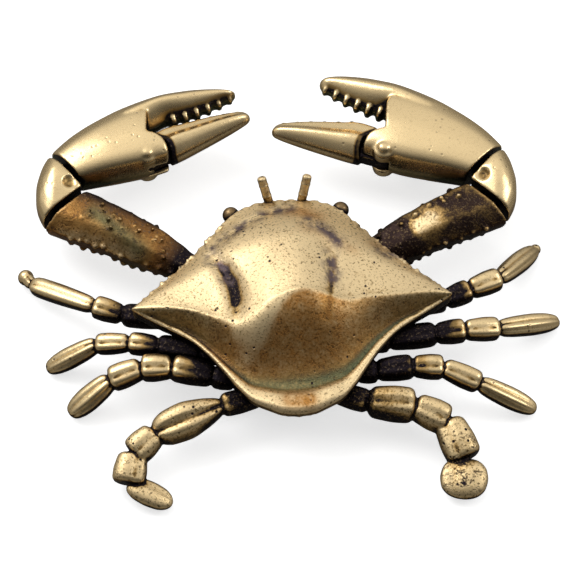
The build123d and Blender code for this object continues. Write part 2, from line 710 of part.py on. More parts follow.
def build():
    pieces = {"carapace": carapace()}
    seats = []
    for side, sign in (("left", -1), ("right", 1)):
        pieces[side + "_eye"] = eye(sign)
        pieces[side + "_antenna"] = antenna(sign)
        parts = claw(side)
        seats.append(parts.pop("seat"))
        for name, piece in parts.items():
            pieces[side + "_" + name] = piece
    for name in list(walking_leg_shares) + list(paddle_leg_shares):
        pieces[name] = leg(name)
        seats.append(leg_seat(name))
    pieces["underbody"] = underbody(seats)
    return pieces


os.makedirs("parts", exist_ok=True)
for name, piece in build().items():
    export_step(piece, "parts/" + name + ".step")
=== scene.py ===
# %% [markdown]
# # A small crab of antiqued brass
# The object is a table ornament, 60 mm across its leg tips, cast in brass, blackened in a bath and then
# rubbed bright, so that the high places shine and the hollows stay dark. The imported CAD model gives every
# piece its place. This lesson casts each piece again with soft edges, teeth, beads and pits, and then
# finds out where the black would stay.

# %% The fixed frame
import json
import math
import bpy
import numpy as np
from mathutils import Matrix, Vector
from mathutils.bvhtree import BVHTree


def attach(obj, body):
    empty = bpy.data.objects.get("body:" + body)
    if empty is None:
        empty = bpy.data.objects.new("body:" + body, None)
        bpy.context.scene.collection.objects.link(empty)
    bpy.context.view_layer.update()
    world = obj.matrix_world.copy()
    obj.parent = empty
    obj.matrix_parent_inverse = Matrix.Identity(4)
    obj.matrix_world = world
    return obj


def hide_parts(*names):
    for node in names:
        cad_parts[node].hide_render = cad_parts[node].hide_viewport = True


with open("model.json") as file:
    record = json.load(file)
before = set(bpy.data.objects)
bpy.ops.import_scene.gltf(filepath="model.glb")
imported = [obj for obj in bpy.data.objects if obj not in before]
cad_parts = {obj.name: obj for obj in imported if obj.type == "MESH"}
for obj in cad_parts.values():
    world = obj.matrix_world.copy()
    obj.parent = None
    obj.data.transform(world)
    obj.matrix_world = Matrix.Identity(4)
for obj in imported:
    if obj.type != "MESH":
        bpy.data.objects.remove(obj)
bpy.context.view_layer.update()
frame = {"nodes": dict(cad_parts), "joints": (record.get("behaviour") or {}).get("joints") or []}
MM = 0.001
hinge = {joint["name"]: Vector(joint["pos_m"]) / MM for joint in frame["joints"]}
print("nodes:", len(frame["nodes"]), "hinges:", len(hinge))

# %% [markdown]
# ## Tools for casting
# A cast form has no sharp edges. It could be box-modelled under a subdivision surface, but a crab's claw
# is easier to describe as a row of sections along a line. The sections are joined to a closed skin,
# several skins are thrown together, and a voxel remesh melts them into one even mesh, as molten metal
# fills one mould. All of this is done in millimetres, because a remesh has a smallest voxel.

# %% Smooth lines through given values
def slopes(places, values):
    """Slopes for a curve through the values that never swings past them."""
    step = np.diff(places)
    rise = np.diff(values, axis=0) / step.reshape(-1, *[1] * (values.ndim - 1))
    inner = np.where(rise[1:] * rise[:-1] > 0, 2 * rise[1:] * rise[:-1] / (rise[1:] + rise[:-1] + 1e-12), 0)
    return np.concatenate([rise[:1], inner, rise[-1:]])


def smooth_between(places, values, wanted):
    """Values of the smooth line at the wanted places."""
    places, values = np.asarray(places, float), np.asarray(values, float)
    wanted = np.clip(wanted, places[0], places[-1])
    slope = slopes(places, values)
    cell = np.clip(np.searchsorted(places, wanted, side="right") - 1, 0, len(places) - 2)
    width = places[cell + 1] - places[cell]
    t = (wanted - places[cell]) / width
    if values.ndim > 1:
        t, width = t[:, None], width[:, None]
    a, b = values[cell], values[cell + 1]
    return (a * (1 + 2 * t) * (1 - t) ** 2 + b * t * t * (3 - 2 * t)
            + width * (slope[cell] * t * (1 - t) ** 2 - slope[cell + 1] * t * t * (1 - t)))


def rows_at(rows, wanted):
    """The other columns of a table at the wanted values of its first one."""
    return smooth_between([row[0] for row in rows], [row[1:] for row in rows], wanted)


def ring_of(corners, sides, roundness=0.5):
    """Closed curve that rounds the given corners, as points at even angles of its parameter."""
    corners = np.asarray(corners, float)
    count = len(corners)
    t = np.arange(sides) * count / sides
    cell, t = np.floor(t).astype(int), (t % 1)[:, None]
    a, b, c, d = (corners[(cell + k) % count] for k in (-1, 0, 1, 2))
    start, end = (c - a) * roundness, (d - b) * roundness
    return (b * (1 + 2 * t) * (1 - t) ** 2 + c * t * t * (3 - 2 * t)
            + start * t * (1 - t) ** 2 - end * t * t * (1 - t))


def oval(sides=36, power=2.0):
    """Unit oval; a power above 2 makes it squarer."""
    angle = np.arange(sides) * 2 * math.pi / sides
    c, s = np.cos(angle), np.sin(angle)
    return np.stack([np.sign(c) * abs(c) ** (2 / power), np.sign(s) * abs(s) ** (2 / power)], 1)


print("a rounded square has", len(ring_of([(1, 0), (0, 1), (-1, 0), (0, -1)], 24)), "points")


# %% Skins, cuts and the melt
def as_object(name, points, faces, edges=()):
    mesh = bpy.data.meshes.new(name)
    mesh.from_pydata([tuple(p) for p in points], list(edges), [tuple(f) for f in faces])
    made = bpy.data.objects.new(name, mesh)
    bpy.context.scene.collection.objects.link(made)
    return made


def skin(rings):
    """Closed skin over rings of as many points, with a fan at each end."""
    rings = np.asarray(rings, float)
    count, sides = rings.shape[:2]
    points = np.concatenate([rings.reshape(-1, 3), rings[:1].mean(1), rings[-1:].mean(1)])
    faces = []
    for row in range(count - 1):
        for side in range(sides):
            after = (side + 1) % sides
            faces.append((row * sides + side, row * sides + after, (row + 1) * sides + after,
                          (row + 1) * sides + side))
    last = (count - 1) * sides
    for side in range(sides):
        after = (side + 1) % sides
        faces.append((after, side, count * sides))
        faces.append((last + side, last + after, count * sides + 1))
    return points, faces


def turned_out(made):
    """Makes every face of a closed mesh point outwards."""
    mesh = made.data
    volume = sum(face.center.dot(face.normal) * face.area for face in mesh.polygons)
    if volume < 0:
        mesh.flip_normals()
    return made


def joined(name, skins):
    """One object that holds several closed skins."""
    points, faces, start = [], [], 0
    for some_points, some_faces in skins:
        if signed_volume(some_points, some_faces) < 0:
            some_faces = [tuple(reversed(face)) for face in some_faces]
        points.extend(some_points)
        faces.extend([tuple(start + corner for corner in face) for face in some_faces])
        start += len(some_points)
    return as_object(name, points, faces)


def signed_volume(points, faces):
    """Six times the volume of a closed skin, below zero if it is inside out."""
    corners = np.asarray(points, float)
    fans = np.array([(face[0], b, c) for face in faces for b, c in zip(face[1:], face[2:])])
    a, b, c = (corners[fans[:, k]] for k in range(3))
    return (a * np.cross(b, c)).sum()


def settle(made):
    """Applies the object's modifiers and keeps the result as a plain mesh."""
    plain = bpy.data.meshes.new_from_object(made.evaluated_get(bpy.context.evaluated_depsgraph_get()))
    made.modifiers.clear()
    made.data = plain
    return made


def melt(made, voxel):
    remesh = made.modifiers.new("melt", "REMESH")
    remesh.mode = "VOXEL"
    remesh.voxel_size = voxel
    return settle(made)


def taken(made):
    """The points and faces of an object, which goes."""
    found = coordinates(made.data), [tuple(polygon.vertices) for polygon in made.data.polygons]
    bpy.data.objects.remove(made)
    return found


def cut(made, skins):
    """Takes closed skins out of the object, one after the other."""
    tools = []
    for one in skins:
        tools.append(joined("cutter", [one]))
        boolean = made.modifiers.new("cut", "BOOLEAN")
        boolean.operation = "DIFFERENCE"
        boolean.solver = "MANIFOLD"
        boolean.object = tools[-1]
    settle(made)
    for tool in tools:
        bpy.data.objects.remove(tool)
    return made


def coordinates(mesh):
    points = np.zeros(len(mesh.vertices) * 3)
    mesh.vertices.foreach_get("co", points)
    return points.reshape(-1, 3)


def edge_ends(mesh):
    ends = np.zeros(len(mesh.edges) * 2, int)
    mesh.edges.foreach_get("vertices", ends)
    return ends.reshape(-1, 2)


def neighbours_mean(ends, values, count):
    """Mean of a value over each vertex's neighbours."""
    here = np.concatenate([ends[:, 0], ends[:, 1]])
    there = np.concatenate([ends[:, 1], ends[:, 0]])
    number = np.maximum(np.bincount(here, minlength=count), 1)
    columns = values.reshape(count, -1).T
    total = [np.bincount(here, weights=column[there], minlength=count) / number for column in columns]
    return np.stack(total, 1).reshape(values.shape)


def soften(made, passes, share=0.5):
    """Wears the edges: each point moves towards its neighbours' mean, and partly back again."""
    points, ends = coordinates(made.data), edge_ends(made.data)
    for _ in range(passes):
        for amount in (share, -share * 0.6):
            points = points + amount * (neighbours_mean(ends, points, len(points)) - points)
    made.data.vertices.foreach_set("co", points.ravel())
    made.data.update()
    return made


castings = {}


def cast(name, body, skins, cuts=(), voxel=0.14, passes=3, nodes=None):
    """Melts skins into one piece, cuts it, and keeps it under its name with the body it will ride on."""
    made = melt(joined(name, skins), voxel)
    if cuts:
        melt(cut(made, list(cuts)), voxel)
    soften(made, passes)
    castings[name] = (made, body, nodes or [name])
    print(name, "has", len(made.data.polygons), "faces")
    return made


# %% Simple skins that hinges need
def rod(start, end, radius, sides=28, end_radius=None, ends=0.0):
    """Round rod between two points; ends is the share of the radius that its rims are rounded by."""
    start, end = np.asarray(start, float), np.asarray(end, float)
    along = (end - start) / np.linalg.norm(end - start)
    across = np.cross(along, (0, 0, 1) if abs(along[2]) < 0.9 else (1, 0, 0))
    across /= np.linalg.norm(across)
    up = np.cross(along, across)
    other = radius if end_radius is None else end_radius
    circle = oval(sides)
    rings = []
    for place, size in ((start, radius), (end, other)):
        rim = radius * ends
        inset = (rim if place is start else -rim) * along
        steps = [(place, size - rim), (place + inset * 0.3, size - rim * 0.3), (place + inset, size)]
        if ends == 0:
            steps = [(place, size)]
        for centre, wide in steps if place is start else steps[::-1]:
            rings.append(centre + wide * (circle[:, :1] * across + circle[:, 1:] * up))
    return skin(rings)


def ball(centre, radii, sides=28, rows=15):
    circle = oval(sides)
    rings = []
    for angle in np.linspace(-1.45, 1.45, rows):
        flat = circle * math.cos(angle)
        rings.append(np.column_stack([flat, np.full(sides, math.sin(angle))]) * radii + np.asarray(centre))
    return skin(rings)


def block(low, high):
    x0, y0, z0 = low
    x1, y1, z1 = high
    square = [(x0, y0), (x1, y0), (x1, y1), (x0, y1)]
    return skin([[(x, y, z) for x, y in square] for z in (z0, z1)])


def moved(made_skin, matrix):
    """The skin under a 4 by 4 matrix."""
    points, faces = made_skin
    points = np.asarray(points, float)
    turned = points @ np.array(matrix.to_3x3()).T + np.array(matrix.translation)
    if matrix.determinant() < 0:
        faces = [tuple(reversed(face)) for face in faces]
    return turned, faces


def all_moved(skins, matrix):
    return [moved(one, matrix) for one in skins]


print("a rod has", len(rod((0, 0, 0), (0, 0, 1), 1)[1]), "faces")

# %% [markdown]
# ## The back shell
# A crab's back is a wide rhombus with a spine at each side. Its front edge is saw toothed, a hump stands
# in the middle between two curved grooves, and behind the crest the face falls steeply to a valley with a
# bright turned-up rim. A plain dome would miss all of that. So each line across the shell gets its own
# smooth profile from the rear edge over valley and crest to the front edge, and the grooves are pressed
# in after.

# %% Shell: edges and profiles
half_width = 17.6
front_length, rear_length = 13.33, 13.87
shell_floor = 6.0
front_edge = [(0.0, 1.0), (0.15, 0.985), (0.28, 0.93), (0.36, 0.85), (0.47, 0.71), (0.57, 0.56),
              (0.68, 0.41), (0.76, 0.31), (0.86, 0.19), (1.0, 0.0)]
rear_edge = [(0.0, 1.0), (0.09, 0.985), (0.19, 0.93), (0.28, 0.865), (0.36, 0.75), (0.44, 0.60),
             (0.53, 0.44), (0.64, 0.29), (0.76, 0.19), (0.88, 0.10), (1.0, 0.0)]
teeth_from, teeth_to, teeth_each_side, tooth_depth, tooth_rise = 0.40, 0.95, 9, 0.50, 0.62
lobes_to, lobes, lobe_depth = 0.30, 4, 0.30
margin_from, crest_height, crest_reach = 0.90, 0.22, 0.50
soft_flank, soft_flank_width = -4.8, 3.2


def edge_line(table, share):
    return rows_at(table, np.abs(share))[:, 0]


def front_line(x):
    """Front edge with its teeth and lobes, for places across the shell."""
    share = np.abs(x) / half_width
    line = front_length * edge_line(front_edge, share)
    tooth = ((share - teeth_from) / (teeth_to - teeth_from) * teeth_each_side) % 1
    saw = np.where(tooth < tooth_rise, tooth / tooth_rise, (1 - tooth) / (1 - tooth_rise)) ** 0.7
    toothed = (share > teeth_from) & (share < teeth_to)
    lobe = (share / lobes_to * lobes) % 1
    scallop = np.sin(math.pi * lobe) ** 0.5
    lobed = share < lobes_to
    line = line - np.where(toothed, tooth_depth * (1 - saw), 0)
    return line - np.where(lobed, lobe_depth * (1 - scallop), 0)


def rear_line(x):
    return -rear_length * edge_line(rear_edge, np.abs(x) / half_width)


# Each row: share of the half width, crest place, then heights of rim, band, valley, crest, brow and front
shell_rows = [
    (-1.0, 0.0, 7.7, 7.8, 7.8, 8.0, 8.0, 7.9), (-0.9, -0.3, 7.4, 7.7, 7.7, 8.5, 8.3, 7.7),
    (-0.75, -0.9, 7.1, 7.5, 7.5, 9.2, 8.9, 7.6), (-0.6, -1.8, 7.0, 7.4, 7.3, 9.6, 9.4, 7.7),
    (-0.45, -3.0, 6.9, 7.4, 7.1, 9.9, 10.0, 7.8), (-0.30, -3.4, 6.9, 7.4, 7.0, 10.8, 10.7, 7.9),
    (-0.12, -2.0, 6.9, 7.5, 7.0, 12.2, 11.4, 8.0), (0.05, -1.3, 6.9, 7.5, 7.0, 12.5, 11.6, 8.0),
    (0.20, -1.6, 6.9, 7.5, 7.0, 11.9, 11.2, 8.0), (0.32, -1.9, 6.9, 7.4, 7.0, 10.7, 10.5, 7.9),
    (0.45, -1.3, 6.9, 7.4, 7.1, 10.0, 9.9, 7.8), (0.6, -0.9, 7.0, 7.4, 7.3, 9.6, 9.3, 7.7),
    (0.75, -0.4, 7.1, 7.5, 7.5, 9.1, 8.8, 7.6), (0.9, 0.0, 7.4, 7.7, 7.7, 8.5, 8.3, 7.7),
    (1.0, 0.0, 7.7, 7.8, 7.8, 8.0, 8.0, 7.9)]
rim_rise, band_rise, band_fall = 0.18, 0.02, 0.06
band_start, band_end, valley_share = 0.05, 0.17, 0.27
crest_behind, crest_before = 0.55, 0.5
groove_left = [(-8.4, 5.4), (-7.2, 3.4), (-6.4, 1.3), (-6.1, -0.8), (-6.2, -2.9)]
groove_right = [(4.0, 5.6), (4.6, 3.4), (4.4, 1.4), (4.0, -0.8), (3.6, -3.6)]
margin_line = [(-8.3, 7.0), (-5.4, 8.9), (-2.8, 10.5), (0.4, 11.4)]
grooves = [(groove_left, 0.78, 0.95), (groove_right, 0.40, 0.85), (margin_line, 0.13, 0.65)]


def press(points, line, depth, width):
    """How deep a groove along a line is at each place, fading towards its ends."""
    line = np.asarray(line, float)
    dense = smooth_between(np.arange(len(line)), line, np.linspace(0, len(line) - 1, 40))
    away = np.linalg.norm(points[:, None, :] - dense[None], axis=2)
    near = away.argmin(1)
    ends = np.sin(math.pi * (0.08 + 0.84 * near / 39)) ** 0.6
    return depth * ends * np.exp(-(away.min(1) / width) ** 2)


def shell_top(x, share):
    """Upper face in the profile at x, at shares of the way from the rear edge (0) to the front one (1)."""
    across = np.array([x / half_width])
    crest, rim, band, valley, *fore = rows_at(shell_rows, across)[0]
    rear, toothed = rear_line(np.array([x]))[0], front_line(np.array([x]))[0]
    front = front_length * edge_line(front_edge, across)[0]
    crest = min(max(crest, rear * crest_behind), front * crest_before)
    places = [rear + (crest - rear) * part for part in (0, band_start, band_end, valley_share, 1)]
    places += [(crest + front) / 2, front]
    for number in range(1, 7):
        places[number] = max(places[number], places[number - 1] + 1e-4)
    y = rear + (front - rear) * share
    z = smooth_between(places, [rim + rim_rise, band + band_rise, band - band_fall, valley, *fore], y)
    flank = math.exp(-((x - soft_flank) / soft_flank_width) ** 2)
    z += crest_height * (1 - flank) * np.exp(-np.abs(y - crest) / crest_reach) * min(1.0, (front - rear) / 9)
    near = np.clip((share - margin_from) / (1 - margin_from), 0, 1) ** 2
    return np.column_stack([np.full(len(y), x), y - (front - toothed) * near, z])


def slope_place(points):
    """Where points lie between the valley (0) and the crest (1), seen from above; below 0 is the rim."""
    share = np.clip(points[:, 0] / half_width, -0.999, 0.999)
    crest = rows_at(shell_rows, share)[:, 0]
    rear, front = rear_line(share * half_width), front_length * edge_line(front_edge, share)
    crest = np.minimum(np.maximum(crest, rear * crest_behind), front * crest_before)
    valley = rear + (crest - rear) * valley_share
    return (points[:, 1] - valley) / np.maximum(crest - valley, 0.05)


columns = half_width * np.sin(np.linspace(-math.pi / 2, math.pi / 2, 341))[1:-1]
top = np.array([shell_top(x, np.linspace(0, 1, 90)) for x in columns])
flat = top[..., :2].reshape(-1, 2)
for line, depth, width in grooves:
    top[..., 2] -= press(flat, line, depth, width).reshape(top.shape[:2])
print("shell top:", top.shape, "highest", round(top[..., 2].max(), 2))

# %% [markdown]
# ## Things that repeat along a path
# The front edge of the shell and the arms carry rows of beads, and the claws carry teeth. One tree of
# Geometry Nodes sets small balls at even steps along a path. The bead tree adds to it uneven sizes and a
# scatter from a fixed seed, so that no two beads are alike; the tooth tree, further on, adds a taper.

# %% Things that repeat along a path
def path_tree(title, sizes, detail):
    """A tree that sets small balls along a path, and those of its nodes that a pattern may add to."""
    tree = bpy.data.node_groups.new(title, "GeometryNodeTree")
    tree.interface.new_socket("Path", in_out="INPUT", socket_type="NodeSocketGeometry")
    for name, value in sizes:
        kind = "NodeSocketInt" if isinstance(value, int) else "NodeSocketFloat"
        tree.interface.new_socket(name, in_out="INPUT", socket_type=kind).default_value = value
    tree.interface.new_socket("Row", in_out="OUTPUT", socket_type="NodeSocketGeometry")
    add, link = tree.nodes.new, tree.links.new
    inputs, outputs = add("NodeGroupInput"), add("NodeGroupOutput")
    to_curve, resample = add("GeometryNodeMeshToCurve"), add("GeometryNodeResampleCurve")
    small_ball, instance = add("GeometryNodeMeshIcoSphere"), add("GeometryNodeInstanceOnPoints")
    realize, finish = add("GeometryNodeRealizeInstances"), add("GeometryNodeSetMaterial")
    small_ball.inputs["Subdivisions"].default_value = detail
    small_ball.inputs["Radius"].default_value = 1.0
    link(inputs.outputs["Path"], to_curve.inputs[0])
    link(to_curve.outputs[0], resample.inputs["Curve"])
    link(inputs.outputs["Count"], resample.inputs["Count"])
    link(resample.outputs[0], instance.inputs["Points"])
    link(small_ball.outputs["Mesh"], instance.inputs["Instance"])
    link(instance.outputs[0], realize.inputs[0])
    link(realize.outputs[0], finish.inputs[0])
    link(finish.outputs[0], outputs.inputs[0])
    return tree, inputs, resample, instance


def grown(tree, path, **sizes):
    """Points and faces of what a tree sets along a path."""
    line = as_object("path", path, [], [(k, k + 1) for k in range(len(path) - 1)])
    row = line.modifiers.new("row", "NODES")
    row.node_group = tree
    for item in tree.interface.items_tree:
        if item.in_out == "INPUT" and item.name in sizes:
            row[item.identifier] = sizes[item.name]
    return taken(settle(line))


# %% Shell: beads along its front edge
def bead_tree():
    """Beads of uneven size, each set a little to some side of the path."""
    tree, inputs, resample, instance = path_tree(
        "beads along a path",
        [("Count", 20), ("Smallest", 0.2), ("Largest", 0.3), ("Scatter", 0.1), ("Seed", 1)], 2)
    add, link = tree.nodes.new, tree.links.new
    offset, spread = add("FunctionNodeRandomValue"), add("ShaderNodeVectorMath")
    shift = add("GeometryNodeSetPosition")
    offset.data_type = "FLOAT_VECTOR"
    offset.inputs[0].default_value, offset.inputs[1].default_value = (-1, -1, -1), (1, 1, 1)
    spread.operation = "SCALE"
    size = add("FunctionNodeRandomValue")
    size.data_type = "FLOAT"
    link(offset.outputs[0], spread.inputs[0])
    link(inputs.outputs["Scatter"], spread.inputs["Scale"])
    link(inputs.outputs["Seed"], offset.inputs["Seed"])
    link(resample.outputs[0], shift.inputs["Geometry"])
    link(spread.outputs[0], shift.inputs["Offset"])
    link(shift.outputs[0], instance.inputs["Points"])
    link(inputs.outputs["Smallest"], size.inputs[2])
    link(inputs.outputs["Largest"], size.inputs[3])
    link(inputs.outputs["Seed"], size.inputs["Seed"])
    link(size.outputs[1], instance.inputs["Scale"])
    return tree


bead_nodes = bead_tree()


def beads(path, count, smallest, largest, scatter, seed):
    sizes = {"Count": count, "Smallest": smallest, "Largest": largest, "Scatter": scatter, "Seed": seed}
    return grown(bead_nodes, path, **sizes)


edge_x = np.linspace(-0.96, 0.96, 160) * half_width
edge_points = np.column_stack([edge_x, front_line(edge_x) - 0.25, np.full(160, 7.75)])
shell_beads = beads(edge_points, 74, 0.16, 0.30, 0.12, 3)
print("bead skin:", len(shell_beads[1]), "faces")


# %% Shell: the closed skin
draw_in, spine_height = 0.985, 7.9


def shell_skin():
    """The profiles above, a low wall round them and a flat floor, as one closed skin."""
    rows, across = top.shape[1], top.shape[0]
    base = top * (draw_in, draw_in, 1)
    base[..., 2] = shell_floor
    spines = [(way * half_width, 0, spine_height) for way in (-1, 1)]
    feet = [(way * half_width * draw_in, 0, shell_floor) for way in (-1, 1)]
    points = np.concatenate([top.reshape(-1, 3), base.reshape(-1, 3), spines, feet])
    faces, under = [], across * rows

    def index(column, row):
        return column * rows + row

    for column in range(across - 1):
        for row in range(rows - 1):
            a, b = index(column, row), index(column + 1, row)
            faces.append((a, b, b + 1, a + 1))
            faces.append((under + a + 1, under + b + 1, under + b, under + a))
        for row, turn in ((0, 1), (rows - 1, -1)):
            a, b = index(column, row), index(column + 1, row)
            faces.append((a, under + a, under + b, b)[::turn])
    for column, tip, turn in ((0, 0, 1), (across - 1, 1, -1)):
        spine, foot = 2 * under + tip, 2 * under + 2 + tip
        for row in range(rows - 1):
            a = index(column, row)
            faces.append((spine, a, a + 1)[::turn])
            faces.append((foot, under + a + 1, under + a)[::turn])
        for row, way in ((0, -1), (rows - 1, 1)):
            a = index(column, row)
            faces.append((spine, a, under + a, foot)[::turn * way])
    return points, faces


cast("carapace", "crab_body", [shell_skin(), shell_beads], voxel=0.15, passes=2)

# %% [markdown]
# ## Belly, eyes and antennae
# Under the shell sits the thorax, an oval block whose flat belly carries the crab. The eyes are beads on
# short stalks under the front edge, and the antennae two short rods. They are plain rods and balls, melted
# like the rest so that stalk and bead grow together.

# %% Belly, eyes and antennae
belly_levels = [(0.0, 0.69, 0.67), (0.05, 0.73, 0.71), (0.12, 0.86, 0.85), (0.3, 0.95, 0.95),
                (0.57, 1.0, 1.0), (1.0, 0.98, 0.98)]
belly_half_width, belly_half_length = 9.3, 11.3
levels = np.array([0, 0.02, 0.05, 0.09, 0.14, 0.2, 0.3, 0.42, 0.57, 0.7, 0.85, 1.0])
belly = []
for level, size in zip(levels, rows_at(belly_levels, levels)):
    outline = oval(72, 2.1) * (belly_half_width, belly_half_length) * size
    belly.append(np.column_stack([outline, np.full(72, shell_floor * level)]))
cast("underbody", "crab_body", [skin(belly)], voxel=0.2, passes=2)
eye_radius, eye_height, stalk_radius = 0.95, 7.0, 0.55
antenna_radius, antenna_length, antenna_root, knot_radius = 0.51, 3.4, 1.7, 0.56
for side, name in ((-1, "left"), (1, "right")):
    centre = np.array([side * half_width * 0.345, front_length * 0.91, eye_height])
    inward = np.array([-side * 0.35, -1.0, 0.0])
    inward /= np.linalg.norm(inward)
    stalk = rod(centre, centre + inward * 2.4, stalk_radius)
    bead = ball(centre, (eye_radius, eye_radius, 0.92))
    cast(name + "_eye", "crab_body", [bead, stalk], voxel=0.08, passes=2)
    lean = np.array([side * 0.24, 0.52, 0.82])
    lean /= np.linalg.norm(lean)
    foot = np.array([side * half_width * 0.10, front_length * 0.975, 7.6])
    knots = [rod(foot + lean * up, foot + lean * (up + 0.30), knot_radius, ends=0.35) for up in (0.9, 2.2)]
    stem = rod(foot - lean * antenna_root, foot + lean * antenna_length, antenna_radius, ends=0.5)
    cast(name + "_antenna", "crab_body", [stem, *knots], voxel=0.07, passes=2)

# %% [markdown]
# ## Walking legs
# A leg is a chain of articles, each a spindle that swells between two tight joints, with a flute along
# its back. Turning each article as a separate skin and letting the melt join them gives the creases that
# later hold the black. The widths and places follow the CAD model, as shares of half the span.

# %% Walking legs
half_span, leg_width = 30.0, 2.5
walking_legs = {
    "left_walking_leg_1": [(-0.280, 0.013, 0.143, 0.90), (-0.430, 0.020, 0.147, 0.95),
                           (-0.620, 0.047, 0.150, 1.00), (-0.723, 0.090, 0.153, 0.98),
                           (-0.945, 0.250, 0.062, 0.86), (-0.970, 0.300, 0.036, 0.50)],
    "left_walking_leg_2": [(-0.268, -0.143, 0.147, 0.90), (-0.340, -0.130, 0.152, 1.00),
                           (-0.497, -0.107, 0.173, 1.00), (-0.600, -0.083, 0.163, 0.95),
                           (-0.720, -0.063, 0.133, 0.90), (-0.905, -0.095, 0.024, 0.84)],
    "left_walking_leg_3": [(-0.222, -0.250, 0.140, 0.90), (-0.300, -0.232, 0.150, 1.00),
                           (-0.450, -0.200, 0.172, 1.15), (-0.560, -0.192, 0.163, 1.15),
                           (-0.675, -0.215, 0.127, 1.10), (-0.828, -0.292, 0.026, 0.94)],
    "right_walking_leg_1": [(0.280, 0.023, 0.143, 0.90), (0.430, 0.030, 0.147, 0.95),
                            (0.567, 0.043, 0.150, 1.00), (0.660, 0.080, 0.155, 0.98),
                            (0.773, 0.130, 0.145, 1.00), (0.925, 0.322, 0.024, 0.82)],
    "right_walking_leg_2": [(0.277, -0.120, 0.147, 0.90), (0.345, -0.117, 0.152, 1.00),
                            (0.520, -0.113, 0.172, 1.05), (0.627, -0.100, 0.165, 1.02),
                            (0.753, -0.080, 0.133, 1.00), (0.985, 0.005, 0.024, 0.84)],
    "right_walking_leg_3": [(0.222, -0.247, 0.147, 0.90), (0.295, -0.247, 0.155, 1.00),
                            (0.427, -0.247, 0.172, 1.05), (0.537, -0.253, 0.165, 1.05),
                            (0.667, -0.310, 0.133, 0.98), (0.870, -0.370, 0.024, 0.84)]}
article_swell = [(-0.02, 0.46), (0.0, 0.60), (0.04, 0.74), (0.11, 0.87), (0.30, 0.95), (0.6, 1.02),
                 (0.84, 1.0), (0.94, 0.90), (0.985, 0.72), (1.01, 0.48)]
tip_swell = [(-0.02, 0.50), (0.0, 0.66), (0.035, 0.82), (0.10, 0.96), (0.30, 1.10), (0.55, 1.15),
             (0.75, 1.06), (0.90, 0.84), (0.97, 0.60), (1.0, 0.30)]
spindle_swell = [(-0.02, 0.30), (0.0, 0.42), (0.10, 0.62), (0.30, 0.88), (0.55, 1.06), (0.80, 0.98),
                 (0.93, 0.78), (1.0, 0.52), (1.02, 0.34)]
spindle, spindle_flute = ("left_paddle_leg", 1), 0.30
ball_tips = {"left_walking_leg_1": 0.90, "right_walking_leg_1": 0.62}
one_flute, two_flutes, tip_depth = 0.33, 0.22, 0.85
peg_length, peg_radius = 2.4, 0.75


def article(start, end, width, depth, swell, flute, tilts, power=2.6):
    """One spindle between two points, its width level, with flutes along its back."""
    start, end = np.asarray(start, float), np.asarray(end, float)
    along = (end - start) / np.linalg.norm(end - start)
    level = np.array([-along[1], along[0], 0])
    level /= np.linalg.norm(level)
    up = np.cross(along, level)
    up = up if up[2] > 0 else -up
    wanted = np.linspace(swell[0][0], swell[-1][0], 40)
    section = oval(32, power)
    angle = np.arctan2(section[:, 1], section[:, 0])
    spread = one_flute if len(tilts) == 1 else two_flutes
    groove = 1 - flute * sum(np.exp(-((angle - math.pi / 2 - tilt) / spread) ** 2) for tilt in tilts)
    rings = []
    for share, size in zip(wanted, rows_at(swell, wanted)[:, 0]):
        centre = start + (end - start) * share
        flat = section * groove[:, None] * size
        rings.append(centre + flat[:, :1] * level * width / 2 + flat[:, 1:] * up * depth / 2)
    return skin(rings)


def leg_skins(name, rows, tip):
    """Articles of a leg: the first is straight out of its socket, the last tapers to the foot."""
    places = [np.array(row[:3]) * half_span for row in rows]
    made = []
    for number, (start, end) in enumerate(zip(places, places[1:])):
        width = leg_width * rows[number + 1][3]
        depth = width * (rows[number + 1][4] if len(rows[0]) > 4 else 1)
        outward = 0.45 if rows[0][0] > 0 else -0.45
        swell, flute, tilts = article_swell, 0.16, (outward,)
        if number == len(rows) - 2:
            swell = tip
            if "_walking_" in name:
                depth, flute, tilts = depth * tip_depth, 0.15, (outward - 0.45, outward + 0.45)
        if (name, number) == spindle:
            swell, flute = spindle_swell, spindle_flute
        made.append(article(start, end, width, depth, swell, flute, tilts))
    way = (places[1] - places[0]) / np.linalg.norm(places[1] - places[0])
    made.append(rod(places[0] - way * peg_length, places[0] + way * 0.3, peg_radius))
    return made


for name, rows in walking_legs.items():
    skins = leg_skins(name, rows, tip_swell)
    if name in ball_tips:
        skins.append(ball(np.array(rows[-1][:3]) * half_span, (ball_tips[name],) * 3))
    cast(name, "crab_body", skins, voxel=0.11, passes=2)

# %% [markdown]
# ## Paddle legs
# The last pair of a swimming crab ends in flat oars. Their articles are shorter and fatter, the last one
# is an oval blade, and their faces are pitted by the casting, which the finish adds later.

# %% Paddle legs
paddle_legs = {
    "left_paddle_leg": [(-0.135, -0.325, 0.143, 0.90, 1.0), (-0.277, -0.363, 0.155, 1.00, 1.0),
                        (-0.523, -0.450, 0.128, 1.45, 1.1), (-0.605, -0.515, 0.100, 1.30, 1.0),
                        (-0.630, -0.620, 0.068, 1.45, 0.9), (-0.473, -0.693, 0.030, 1.15, 0.6)],
    "right_paddle_leg": [(0.138, -0.325, 0.143, 0.90, 1.0), (0.257, -0.377, 0.155, 1.00, 1.0),
                         (0.423, -0.395, 0.140, 1.40, 1.2), (0.540, -0.447, 0.108, 1.30, 1.1),
                         (0.597, -0.587, 0.068, 1.55, 0.9), (0.573, -0.737, 0.042, 2.10, 0.42)]}
blade_swell = [(0.0, 0.30), (0.03, 0.52), (0.10, 0.72), (0.25, 0.92), (0.48, 1.0), (0.72, 0.92),
               (0.88, 0.70), (0.96, 0.45), (1.0, 0.18)]
for name, rows in paddle_legs.items():
    cast(name, "crab_body", leg_skins(name, rows, blade_swell), voxel=0.12, passes=2)

